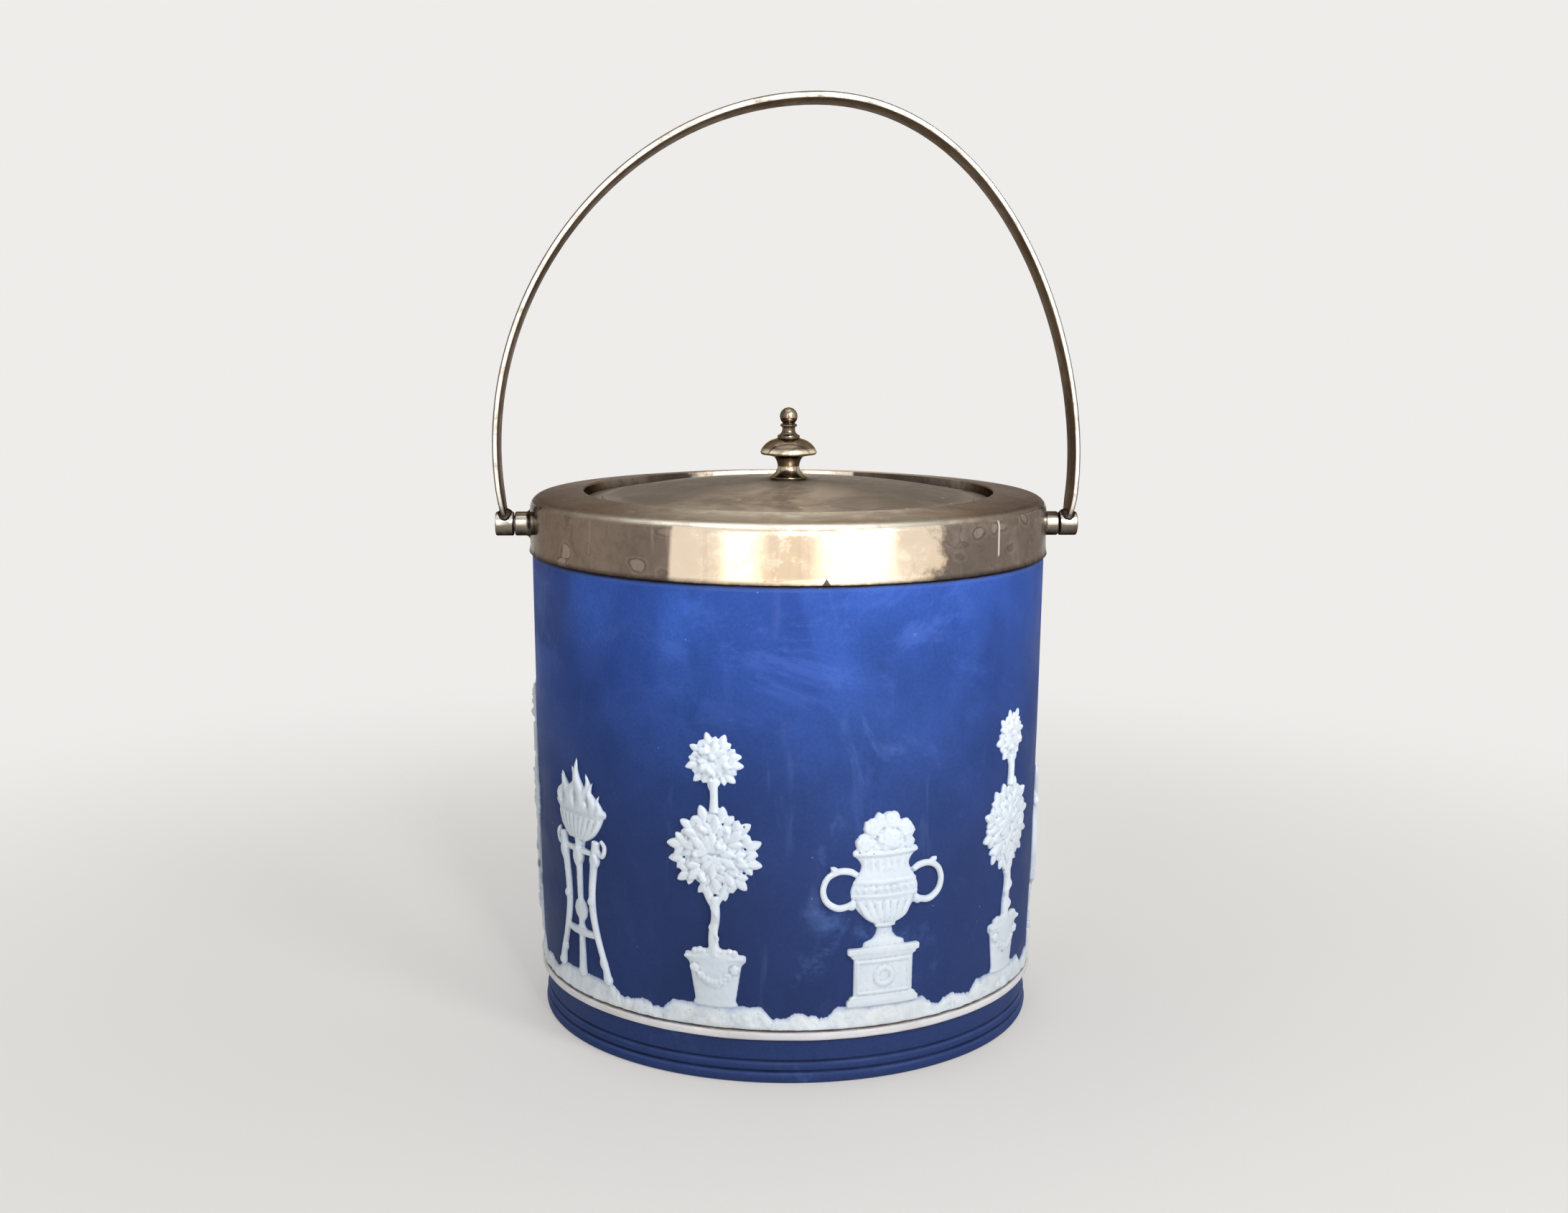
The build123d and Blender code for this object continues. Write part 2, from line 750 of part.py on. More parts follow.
knuckle_end = knuckle_start + knuckle_length
head_seat = knuckle_end - knuckle_dome - pin_head_depth
pin_start = collar_radius + pin_end_gap
for side, name in ((-1, "left"), (1, "right")):
    with BuildPart() as boss:
        add(rod(side, boss_radius, collar_radius - sheet / 2, boss_end))
        add(rod(side, pin_radius + pin_fit, pin_start - pin_fit, boss_end), mode=Mode.SUBTRACT)
        add(collar.part, mode=Mode.SUBTRACT)
    save(boss, f"boss_{name}")

    with BuildPart() as pivot_pin:
        add(rod(side, pin_radius, pin_start, head_seat + pin_head_gap))
        add(rod(side, pin_head_radius, head_seat + pin_head_gap, knuckle_end - knuckle_dome / 2))
    save(pivot_pin, f"pivot_pin_{name}")

    with BuildPart() as knuckle:
        add(rod(side, boss_radius, knuckle_start, knuckle_end))
        end_face = knuckle.faces().sort_by(Axis.X)[-1 if side > 0 else 0]
        fillet(end_face.edges(), knuckle_dome)
        add(rod(side, pin_radius + pin_clearance, knuckle_start, knuckle_end), mode=Mode.SUBTRACT)
        add(rod(side, pin_head_radius + knuckle_gap, head_seat, knuckle_end), mode=Mode.SUBTRACT)
        add(handle_strap.part, mode=Mode.SUBTRACT)
    save(knuckle, f"knuckle_{name}")
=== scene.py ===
"""Biscuit jar: matte blue stoneware with white sprigs, a plated collar, a swing handle and a domed lid."""

import random
from math import atan2, cos, hypot, pi, radians, sin, sqrt

import bpy
from mathutils import Matrix, Vector, noise


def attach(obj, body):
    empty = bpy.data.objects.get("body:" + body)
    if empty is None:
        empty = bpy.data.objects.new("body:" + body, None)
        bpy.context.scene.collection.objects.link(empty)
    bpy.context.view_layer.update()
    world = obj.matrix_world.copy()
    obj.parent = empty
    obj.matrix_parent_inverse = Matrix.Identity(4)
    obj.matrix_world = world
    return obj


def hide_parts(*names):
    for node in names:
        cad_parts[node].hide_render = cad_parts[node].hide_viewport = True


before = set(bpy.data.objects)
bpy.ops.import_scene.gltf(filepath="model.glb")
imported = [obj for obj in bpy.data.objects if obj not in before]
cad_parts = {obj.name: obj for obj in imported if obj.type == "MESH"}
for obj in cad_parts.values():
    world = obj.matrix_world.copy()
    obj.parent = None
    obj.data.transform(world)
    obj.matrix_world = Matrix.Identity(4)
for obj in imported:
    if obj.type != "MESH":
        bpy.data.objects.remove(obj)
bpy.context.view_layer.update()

MM = 0.001
random.seed(7)  # for the small differences between leaves and berries


# ---------------------------------------------------------------- bench helpers
def take_up(piece):
    """Makes one piece the only one selected and the active one."""
    bpy.ops.object.select_all(action="DESELECT")
    piece.select_set(True)
    bpy.context.view_layer.objects.active = piece
    return piece


def from_points(name, points, edges=(), faces=()):
    """A new piece from points, edges and faces, taken up."""
    mesh = bpy.data.meshes.new(name)
    mesh.from_pydata(points, edges, faces)
    piece = bpy.data.objects.new(name, mesh)
    bpy.context.scene.collection.objects.link(piece)
    return take_up(piece)


def edit(piece):
    """Opens a piece for editing with everything on it selected."""
    take_up(piece)
    bpy.ops.object.mode_set(mode="EDIT")
    bpy.ops.mesh.select_all(action="SELECT")


def done():
    """Closes a piece after editing."""
    bpy.ops.object.mode_set(mode="OBJECT")


def settle(piece):
    """Puts a piece's place into its mesh, so that its object sits at the origin."""
    take_up(piece)
    bpy.ops.object.transform_apply(location=True, rotation=True, scale=True)


def heal(piece, reach=0.000001):
    """Closes seams and poles and turns the faces outwards."""
    edit(piece)
    bpy.ops.mesh.remove_doubles(threshold=reach)
    bpy.ops.mesh.normals_make_consistent(inside=False)
    done()
    return piece


def weld(name, pieces):
    """Joins several pieces into one."""
    take_up(pieces[0])
    for piece in pieces:
        piece.select_set(True)
    bpy.ops.object.join()
    joined = bpy.context.view_layer.objects.active
    joined.name = name
    joined.data.name = name
    return joined


def smooth(piece, degrees):
    """Shades a piece smooth, except over edges sharper than this."""
    take_up(piece)
    bpy.ops.object.shade_smooth_by_angle(angle=radians(degrees))
    return piece


def apply_all(piece):
    """Applies a piece's modifiers in their order."""
    take_up(piece)
    for modifier in list(piece.modifiers):
        bpy.ops.object.modifier_apply(modifier=modifier.name)


def eased(points, radii, steps=6):
    """A path of straight runs with its inner corners eased by arcs of the given radii."""
    path = [points[0]]
    for before, corner, after, radius in zip(points, points[1:], points[2:], radii):
        here = Vector(corner)
        back = (Vector(before) - here).normalized()
        ahead = (Vector(after) - here).normalized()
        half_turn = back.angle(ahead) / 2
        if radius <= 0 or abs(half_turn - pi / 2) < 0.01:
            path.append(corner)
            continue
        reach = radius / (sin(half_turn) / cos(half_turn))
        start, end = here + back * reach, here + ahead * reach
        centre = here + (back + ahead).normalized() * (radius / sin(half_turn))
        for step in range(steps + 1):
            spoke = (start - centre).lerp(end - centre, step / steps).normalized()
            path.append(tuple(centre + spoke * radius))
    path.append(points[-1])
    return path


def flowing(points, steps=6):
    """A smooth line through points."""
    line = []
    for index in range(len(points) - 1):
        p0 = Vector(points[max(index - 1, 0)])
        p1, p2 = Vector(points[index]), Vector(points[index + 1])
        p3 = Vector(points[min(index + 2, len(points) - 1)])
        for step in range(steps):
            t = step / steps
            bow, twist = (2 * p0 - 5 * p1 + 4 * p2 - p3) * t * t, (3 * p1 - p0 - 3 * p2 + p3) * t**3
            line.append(tuple(0.5 * (2 * p1 + (p2 - p0) * t + bow + twist)))
    line.append(tuple(points[-1]))
    return line


def turned(name, profile, steps, ring=False):
    """Spins a profile of radii and heights, in millimetres, about the jar's axis.

    A ring's profile is closed.
    """
    points = [(radius * MM, 0, height * MM) for radius, height in profile]
    edges = [(index, index + 1) for index in range(len(points) - 1)]
    if ring:
        edges.append((len(points) - 1, 0))
    piece = from_points(name, points, edges)
    edit(piece)
    bpy.ops.mesh.spin(steps=steps, angle=2 * pi, center=(0, 0, 0), axis=(0, 0, 1))
    done()
    return heal(piece)


# ---------------------------------------------------------------- camera
# The lens looks down a little on the jar from just left of its front.
LENS_DISTANCE, LENS_HEIGHT = 0.515, 0.193
LENS_YAW, LENS_PITCH, LENS_AIM, LENS_ROLL = radians(3.0), radians(9.41), radians(0.11), radians(0.3)
FRAME_WIDTH, FOCAL_LENGTH, SENSOR_WIDTH = 2184, 2700, 36  # the first two in pixels, the last in millimetres

lens = bpy.data.cameras.new("lens")
lens.sensor_width = SENSOR_WIDTH
lens.lens = FOCAL_LENGTH / FRAME_WIDTH * SENSOR_WIDTH
lens.clip_start = 0.01
viewpoint = bpy.data.objects.new("viewpoint", lens)
bpy.context.scene.collection.objects.link(viewpoint)
viewpoint.location = (-LENS_DISTANCE * sin(LENS_YAW), -LENS_DISTANCE * cos(LENS_YAW), LENS_HEIGHT)
aim = Matrix.Rotation(LENS_AIM - LENS_YAW, 4, "Z") @ Matrix.Rotation(pi / 2 - LENS_PITCH, 4, "X")
viewpoint.rotation_euler = (aim @ Matrix.Rotation(LENS_ROLL, 4, "Z")).to_euler()
bpy.context.scene.camera = viewpoint


# ---------------------------------------------------------------- finishes
class Recipe:
    """A finish built from nodes, with the surface's own place as its input."""

    def __init__(self, name):
        self.finish = bpy.data.materials.new(name)
        self.finish.use_nodes = True
        self.nodes = self.finish.node_tree.nodes
        self.links = self.finish.node_tree.links
        self.shader = self.nodes["Principled BSDF"]
        self.place = self.nodes.new("ShaderNodeTexCoord").outputs["Object"]

    def put(self, socket, value):
        """Links a value to a socket, or sets the socket where the value is a plain one."""
        if isinstance(value, bpy.types.NodeSocket):
            self.links.new(value, socket)
        else:
            socket.default_value = value

    def grain(self, scale, detail=3.0, roughness=0.5, stretch=(1, 1, 1), distortion=0.0, shift=0.0):
        """Noise over the surface, as a number about 0.5."""
        mapping = self.nodes.new("ShaderNodeMapping")
        mapping.inputs["Scale"].default_value = stretch
        mapping.inputs["Location"].default_value = (shift, shift * 0.7, shift * 1.3)
        self.links.new(self.place, mapping.inputs["Vector"])
        node = self.nodes.new("ShaderNodeTexNoise")
        self.links.new(mapping.outputs["Vector"], node.inputs["Vector"])
        node.inputs["Scale"].default_value = scale
        node.inputs["Detail"].default_value = detail
        node.inputs["Roughness"].default_value = roughness
        node.inputs["Distortion"].default_value = distortion
        return node.outputs["Fac"]

    def cells(self, scale, wander=0.0, wander_scale=80.0, flat=1.0):
        """Distance to the nearest of scattered points, and that point's own chance."""
        source = self.place
        if flat != 1.0:
            squeeze = self.nodes.new("ShaderNodeMapping")
            squeeze.inputs["Scale"].default_value = (1, 1, flat)
            self.links.new(self.place, squeeze.inputs["Vector"])
            source = squeeze.outputs["Vector"]
        if wander:
            wobble = self.nodes.new("ShaderNodeTexNoise")
            wobble.inputs["Scale"].default_value = wander_scale
            self.links.new(self.place, wobble.inputs["Vector"])
            scaled = self.nodes.new("ShaderNodeVectorMath")
            scaled.operation = "MULTIPLY_ADD"
            scaled.inputs[1].default_value = (wander,) * 3
            self.links.new(wobble.outputs["Color"], scaled.inputs[0])
            self.links.new(source, scaled.inputs[2])
            source = scaled.outputs["Vector"]
        node = self.nodes.new("ShaderNodeTexVoronoi")
        self.links.new(source, node.inputs["Vector"])
        node.inputs["Scale"].default_value = scale
        return node.outputs["Distance"], node.outputs["Color"]

    def parts(self):
        """The surface's own place as its X, Y and Z."""
        split = self.nodes.new("ShaderNodeSeparateXYZ")
        self.links.new(self.place, split.inputs[0])
        return split.outputs

    def lathe_lines(self, scale, detail=2.0):
        """Noise that only changes with the radius and height, as turning leaves it."""
        x, y, z = self.parts()
        radius = self.sums("POWER", self.plus(self.sums("POWER", x, 2.0), self.sums("POWER", y, 2.0)), 0.5)
        joined = self.nodes.new("ShaderNodeCombineXYZ")
        self.links.new(radius, joined.inputs["X"])
        self.links.new(z, joined.inputs["Z"])
        node = self.nodes.new("ShaderNodeTexNoise")
        self.links.new(joined.outputs["Vector"], node.inputs["Vector"])
        node.inputs["Scale"].default_value = scale
        node.inputs["Detail"].default_value = detail
        return node.outputs["Fac"]

    def bearing(self):
        """Degrees round the jar from its front, positive to the right."""
        x, y, _ = self.parts()
        return self.sums("DEGREES", self.sums("ARCTAN2", x, self.times(y, -1.0)))

    def height(self):
        """Height above the table, in metres."""
        return self.parts()["Z"]

    def told(self, name):
        """A value that the piece's own points carry."""
        node = self.nodes.new("ShaderNodeAttribute")
        node.attribute_name = name
        return node.outputs["Fac"]

    def sums(self, operation, first, second=0.5):
        """One step of arithmetic."""
        node = self.nodes.new("ShaderNodeMath")
        node.operation = operation
        self.put(node.inputs[0], first)
        self.put(node.inputs[1], second)
        return node.outputs[0]

    def times(self, first, *others):
        """Several values multiplied."""
        for other in others:
            first = self.sums("MULTIPLY", first, other)
        return first

    def plus(self, first, second):
        """Two values added."""
        return self.sums("ADD", first, second)

    def most(self, first, *others):
        """The greatest of several values."""
        for other in others:
            first = self.sums("MAXIMUM", first, other)
        return first

    def apart(self, value, middle):
        """How far a value lies from a middle."""
        return self.sums("ABSOLUTE", self.sums("SUBTRACT", value, middle))

    def between(self, value, low, high, to_low=0.0, to_high=1.0, soft=True):
        """A value taken from one range to another and held at its ends."""
        node = self.nodes.new("ShaderNodeMapRange")
        node.interpolation_type = "SMOOTHSTEP" if soft else "LINEAR"
        self.put(node.inputs["Value"], value)
        node.inputs["From Min"].default_value = low
        node.inputs["From Max"].default_value = high
        node.inputs["To Min"].default_value = to_low
        node.inputs["To Max"].default_value = to_high
        return node.outputs["Result"]

    def band(self, value, low, low_full, high_full, high):
        """One from low_full to high_full, falling to nothing at low and high."""
        return self.times(self.between(value, low, low_full), self.between(value, high, high_full))

    def picked(self, chance, share):
        """The scattered points whose own chance is above a share."""
        return self.between(chance, share, share + 0.04, soft=False)

    def dots(self, cells, edge, core, share):
        """Round spots on those of the scattered points that chance picks."""
        distance, chance = cells
        return self.times(self.between(distance, edge, core), self.picked(chance, share))

    def blend(self, share, first, second):
        """One colour turning into another."""
        node = self.nodes.new("ShaderNodeMix")
        node.data_type = "RGBA"
        self.put(node.inputs["Factor"], share)
        self.put(node.inputs[6], first if isinstance(first, bpy.types.NodeSocket) else (*first, 1))
        self.put(node.inputs[7], second if isinstance(second, bpy.types.NodeSocket) else (*second, 1))
        return node.outputs[2]

    def coat(self, under, where, strength, over):
        """A colour laid over another, where a value says and at a strength."""
        return self.blend(self.times(where, strength), under, over)

    def relief(self, value, strength, depth, under=None):
        """A bump whose depth is in millimetres."""
        node = self.nodes.new("ShaderNodeBump")
        node.inputs["Strength"].default_value = strength
        node.inputs["Distance"].default_value = depth * MM
        self.links.new(value, node.inputs["Height"])
        if under:
            self.links.new(under, node.inputs["Normal"])
        return node.outputs["Normal"]

    def complete(self, colour, roughness, normal):
        """Feeds the shader and gives the finish."""
        self.put(self.shader.inputs["Base Color"], colour)
        self.put(self.shader.inputs["Roughness"], roughness)
        self.put(self.shader.inputs["Normal"], normal)
        return self.finish


def shaded(colour, share):
    """A colour made darker or lighter by a share."""
    return tuple(min(channel * share, 1.0) for channel in colour)


# Blues of the clay, each as its darker and its lighter cloud; the lower wall's darker pair is painted shade.
FRESH_BLUES = (0.022, 0.060, 0.268), (0.044, 0.118, 0.495)
LOW_SHADE_BLUES = (0.020, 0.038, 0.124), (0.028, 0.052, 0.178)
FOOT_BLUE = (0.034, 0.062, 0.200)
GRAIN_BLUE = (0.012, 0.03, 0.12)

# Marks on the blue clay; the groove, edge and gap colours are painted shade and painted highlights.
RUB_BLUE, PALM_BLUE, STREAK_BLUE = (0.13, 0.24, 0.62), (0.085, 0.175, 0.60), (0.16, 0.25, 0.56)
BLOT_BLUE, NICK_BLUE, DUST_BLUE = (0.016, 0.040, 0.190), (0.32, 0.42, 0.80), (0.35, 0.42, 0.66)
GROOVE_SHADE_BLUE, HIGHLIGHT_BLUE = (0.010, 0.016, 0.045), (0.075, 0.125, 0.34)
GAP_SHADE_BROWN = (0.035, 0.026, 0.022)

# Heights of the foot's two turned grooves, painted dark as shade, and of the edges painted pale as highlights,
# in metres.
GROOVES = 0.00308, 0.00558
HIGHLIT_EDGES = 0.0024, 0.00505, 0.1225


def clouded_blue(mix, height):
    """The clay's blue: clear below the collar, darker lower down as painted shade, and duller at the foot."""
    clouds = mix.between(mix.grain(16, 4, 0.6), 0.32, 0.7)
    fresh, painted_light = mix.blend(clouds, *FRESH_BLUES), mix.blend(clouds, *LOW_SHADE_BLUES)
    # The wall turns darker towards the bottom: painted shade.
    colour = mix.blend(mix.between(height, 0.045, 0.134), painted_light, fresh)
    colour = mix.blend(mix.between(height, 0.0135, 0.0110, 0.0, 0.5), colour, FOOT_BLUE)
    fine = mix.between(mix.grain(1300, 3, 0.6), 0.35, 0.65)
    return mix.coat(colour, fine, 0.22, GRAIN_BLUE)


def handled_marks(mix, colour, height):
    """Pale rubs, streaks and dust all over, and dark blots, palm rubs and nicks on the upper wall."""
    rubs = mix.between(mix.grain(38, 7, 0.72, stretch=(1, 1, 0.6), distortion=0.9), 0.56, 0.72)
    rubs = mix.times(rubs, mix.between(mix.grain(11, 2, 0.5, shift=3.1), 0.46, 0.62))
    colour = mix.coat(colour, rubs, 0.38, RUB_BLUE)
    upper = mix.between(height, 0.078, 0.108)
    blots = mix.between(mix.grain(19, 5, 0.55, stretch=(1, 1, 0.6), distortion=0.5, shift=8.8), 0.54, 0.62)
    colour = mix.coat(colour, mix.times(blots, upper), 0.50, BLOT_BLUE)
    palms = mix.between(mix.grain(26, 8, 0.74, stretch=(1, 1, 1.5), distortion=0.7, shift=5.6), 0.50, 0.62)
    palms = mix.times(palms, mix.between(mix.grain(12, 2, 0.5, shift=2.2), 0.44, 0.56))
    palms = mix.times(palms, upper)
    colour = mix.coat(colour, palms, 0.27, PALM_BLUE)
    nicks = mix.between(mix.grain(150, 6, 0.7, stretch=(1, 1, 1.8), shift=3.3), 0.66, 0.72)
    colour = mix.coat(colour, mix.times(nicks, palms), 0.5, NICK_BLUE)
    streaks = mix.between(mix.grain(70, 4, 0.6, stretch=(1, 1, 0.16), distortion=0.3, shift=1.7), 0.64, 0.72)
    colour = mix.coat(colour, streaks, 0.14, STREAK_BLUE)
    return mix.coat(colour, mix.dots(mix.cells(210), 0.05, 0.03, 0.70), 0.45, DUST_BLUE)


def shaded_grooves_lit_edges_and_gaps(mix, colour, height):
    """Painted shade in the grooves, where the ring meets the wall and under the collar, and painted highlights
    on edges.
    """
    # Painted shade along the grooves and painted highlights along the edges.
    grooves = [(line, 0.80, GROOVE_SHADE_BLUE) for line in GROOVES]
    for line, strength, paint in grooves + [(line, 0.40, HIGHLIGHT_BLUE) for line in HIGHLIT_EDGES]:
        share = mix.between(mix.apart(height, line), 0.00050, 0.00012, 0.0, strength)
        patchy = mix.between(mix.grain(70, 4, 0.6, shift=line * 900), 0.34, 0.60, 0.45, 1.0)
        colour = mix.blend(mix.times(share, patchy), colour, paint)
    # Painted shade where the ring meets the ground and the foot, and in the gap under the collar.
    under_ground = mix.band(height, 0.01335, 0.0136, 0.0140, 0.01425)
    under_collar = mix.between(height, 0.1229, 0.1233)
    above_foot = mix.band(height, 0.0104, 0.0113, 0.0115, 0.0119)
    gap_shade = mix.most(under_ground, under_collar, mix.times(above_foot, 0.7))
    patchiness = mix.between(mix.grain(220, 4, 0.65), 0.30, 0.62)
    gap_shade = mix.times(gap_shade, mix.plus(mix.times(patchiness, 0.35), 0.6))
    return mix.blend(gap_shade, colour, GAP_SHADE_BROWN)


def blue_stoneware():
    """Dry cobalt-blue clay with fine grain, faint turning lines, the marks of use, and painted shade and
    highlights.
    """
    mix = Recipe("blue_stoneware")
    height = mix.height()
    colour = handled_marks(mix, clouded_blue(mix, height), height)
    colour = shaded_grooves_lit_edges_and_gaps(mix, colour, height)
    mix.shader.inputs["Specular IOR Level"].default_value = 0.10
    turning = mix.relief(mix.lathe_lines(420), 0.22, 0.06)
    skin = mix.relief(mix.grain(2600, 3, 0.6), 0.35, 0.05, turning)
    return mix.complete(colour, mix.between(mix.grain(60, 4), 0.3, 0.7, 0.54, 0.70), skin)


# What shows in white clay: the blue through it, painted shade at its edges, in its hollows and at the ring's
# joint, and what soils it.
MOTTLE_BLUE, THIN_BLUE, EDGE_SHADE_BLUE = (0.33, 0.43, 0.62), (0.22, 0.33, 0.62), (0.03, 0.05, 0.15)
HOLLOW_SHADE_BLUE = (0.26, 0.32, 0.46)
RING_JOINT_BROWN, HANDLED_BUFF, SPECK_BROWN = (0.13, 0.105, 0.09), (0.52, 0.49, 0.45), (0.085, 0.07, 0.065)


def white_stoneware(name="white_stoneware", cool=(0.65, 0.735, 0.83), warm=(0.72, 0.79, 0.87), mottled=0.0):
    """Dry white clay, blue where it is thin, with fine pits, dark specks, low grime and painted shade in
    hollows and at edges.
    """
    mix = Recipe(name)
    height = mix.height()
    colour = mix.blend(mix.between(mix.grain(90, 4, 0.6), 0.3, 0.7), cool, warm)
    if mottled:
        patches = mix.between(mix.grain(230, 5, 0.65), 0.42, 0.66)
        colour = mix.coat(colour, patches, mottled, MOTTLE_BLUE)
    depth = mix.told("clay_depth")
    colour = mix.coat(colour, mix.between(depth, 0.10, 0.46, 1.0, 0.0), 0.55, THIN_BLUE)
    # A dark line of painted shade along the sprigs' thinnest edges.
    colour = mix.coat(colour, mix.between(depth, 0.04, 0.15, 1.0, 0.0), 0.85, EDGE_SHADE_BLUE)
    # Painted shade in the sprigs' hollows and creases.
    colour = mix.coat(colour, mix.between(mix.told("hollow"), 0.12, 0.95), 0.66, HOLLOW_SHADE_BLUE)
    # Painted shade along the joint where the ring meets the ground.
    ring_joint_shade = mix.band(height, 0.01325, 0.01350, 0.01400, 0.01425)
    ring_joint_shade = mix.times(ring_joint_shade, mix.between(mix.grain(150, 4, 0.65), 0.30, 0.62, 0.45, 0.80))
    colour = mix.blend(ring_joint_shade, colour, RING_JOINT_BROWN)
    low = mix.between(height, 0.0205, 0.0150)
    low = mix.times(low, mix.between(mix.grain(60, 4, 0.6, shift=1.3), 0.45, 0.68))
    colour = mix.coat(colour, low, 0.34, HANDLED_BUFF)
    pores = mix.cells(200, wander=0.0012, wander_scale=900)
    specks = mix.dots(pores, 0.065, 0.035, 0.60)
    grit = mix.dots(mix.cells(520), 0.10, 0.06, 0.64)
    colour = mix.blend(mix.most(mix.times(specks, 0.85), mix.times(grit, 0.45)), colour, SPECK_BROWN)
    mix.shader.inputs["Specular IOR Level"].default_value = 0.3
    skin = mix.relief(mix.grain(900, 4, 0.6), 0.4, 0.08)
    pits = mix.relief(mix.between(pores[0], 0.03, 0.12), 0.5, 0.12, skin)
    return mix.complete(colour, 0.66, pits)


def glazed_inside():
    """The jar's pale lining glaze, with soft ripples."""
    mix = Recipe("glazed_inside")
    colour = mix.blend(mix.between(mix.grain(40, 4), 0.3, 0.7), (0.62, 0.62, 0.60), (0.70, 0.70, 0.68))
    roughness = mix.between(mix.grain(25, 2), 0.3, 0.7, 0.16, 0.3)
    return mix.complete(colour, roughness, mix.relief(mix.grain(160, 2), 0.2, 0.1))


def dry_plaster():
    """Rough buff plaster."""
    mix = Recipe("dry_plaster")
    colour = mix.blend(mix.between(mix.grain(70, 5), 0.3, 0.7), (0.42, 0.38, 0.31), (0.56, 0.52, 0.44))
    return mix.complete(colour, 0.9, mix.relief(mix.grain(500, 5, 0.7), 0.6, 0.2))


# Bearings of the skirt's long scratch and of the notch in its edge, in degrees to the right of the front.
SCRATCH_BEARING, NOTCH_BEARING = 45.9, 4.6
NOTCH_SLOPE = 0.0019  # metres that the notch rises for each degree towards its middle

# Reach of the wavering of a bright patch's crisp and ragged sides, and what the ragged side gains, in degrees.
CRISP_REACH, RAGGED_REACH, RAGGED_GAIN = 3.0, 34.0, 2.4
COPPER_CAST = 0.98, 0.86, 0.73

SCRATCH_METAL, NOTCH_BLACK = (0.95, 0.90, 0.82), (0.02, 0.016, 0.013)
LID_SPECK, LID_SCUFF = (0.95, 0.93, 0.90), (0.48, 0.44, 0.38)
# A side browned partly by tarnish and partly as painted reflection, and a black for painted shade.
SIDE_TARNISH_AND_REFLECTION, SHADE_BLACK = (0.125, 0.078, 0.052), (0.022, 0.018, 0.015)


def bright_patches(mix, spans, softness):
    """Bright patches, partly metal wiped by old polishing and partly painted reflection, as spans of degrees
    round the jar.

    A span's first side is crisp and its second ragged. Its third value, if any, takes the place of softness.
    """
    here = mix.bearing()
    ragged = mix.times(mix.sums("SUBTRACT", mix.grain(60, 6, 0.7), 0.5), RAGGED_REACH)
    crisp = mix.times(mix.sums("SUBTRACT", mix.grain(30, 3, 0.5), 0.5), CRISP_REACH)
    patches = []
    for start, end, *wider in spans:
        ease = wider[0] if wider else softness
        turn = mix.sums("WRAP", mix.sums("SUBTRACT", here, (start + end) / 2), 180.0)
        turn.node.inputs[2].default_value = -180.0
        half = (end - start) / 2
        left = mix.between(mix.plus(turn, crisp), -half - ease, -half + ease)
        right = mix.between(mix.plus(turn, ragged), half + RAGGED_GAIN + ease, half - RAGGED_GAIN - ease)
        patches.append(mix.times(left, right))
    return mix.most(*patches)


def bright_patch_metal(mix, wiped_and_reflected):
    """Bright metal for the patches, partly wiped plate and partly painted reflection, a little coppery and
    spotted.
    """
    coppery = tuple(channel * share for channel, share in zip(wiped_and_reflected, COPPER_CAST))
    metal = mix.blend(mix.between(mix.grain(26, 4, 0.5), 0.36, 0.66), wiped_and_reflected, coppery)
    spots = mix.between(mix.grain(130, 5, 0.66, stretch=(1, 1, 2.4)), 0.63, 0.72)
    return mix.coat(metal, spots, 0.30, shaded(coppery, 0.55))


def water_marks(mix, colour, stains, bright_share, paler, darker):
    """Dried drops with dark rims and pale halos, tide lines, and pale runs, all fainter on the bright patches.
    """
    drops = distance, chance = mix.cells(120, wander=0.005, wander_scale=170, flat=1.5)
    rims = mix.times(mix.band(distance, 0.23, 0.28, 0.30, 0.36), mix.picked(chance, 0.42))
    rims = mix.times(rims, mix.between(mix.grain(190, 4, 0.7, shift=4.1), 0.38, 0.60, 0.15, 1.0))
    rims = mix.times(rims, mix.between(bright_share, 0.1, 0.9, 1.0, 0.10))
    middles = mix.times(mix.dots(drops, 0.30, 0.22, 0.52), mix.between(bright_share, 0.1, 0.9, 1.0, 0.04))
    colour = mix.coat(colour, middles, stains * 0.35, paler)
    halos = mix.times(mix.band(distance, 0.35, 0.39, 0.41, 0.47), mix.picked(chance, 0.42))
    colour = mix.coat(colour, halos, stains * 0.12, paler)
    colour = mix.coat(colour, rims, stains, darker)
    tides = mix.between(mix.apart(mix.grain(75, 3, 0.55, shift=5.2), 0.5), 0.012, 0.004)
    tides = mix.times(tides, mix.between(mix.grain(55, 2, shift=7.7), 0.48, 0.58))
    tides = mix.times(tides, mix.between(bright_share, 0.1, 0.9, 1.0, 0.10))
    colour = mix.coat(colour, tides, stains * 0.7, darker)
    runs = mix.between(mix.grain(210, 3, 0.6, stretch=(1, 1, 0.10), shift=2.3), 0.60, 0.70)
    return mix.coat(colour, runs, stains * 0.35, paler)


def scratch_and_notch(mix, colour):
    """One long upright scratch, and a dark notch in the lower edge."""
    turn, height = mix.bearing(), mix.height()
    scratch = mix.between(mix.apart(turn, SCRATCH_BEARING), 0.42, 0.16)
    scratch = mix.times(scratch, mix.band(height, 0.1275, 0.1285, 0.1362, 0.1369))
    colour = mix.coat(colour, scratch, 0.8, SCRATCH_METAL)
    aside = mix.times(mix.apart(turn, NOTCH_BEARING), NOTCH_SLOPE)
    notch = mix.between(mix.plus(aside, height), 0.1257, 0.1254)
    return mix.coat(colour, notch, 0.95, NOTCH_BLACK)


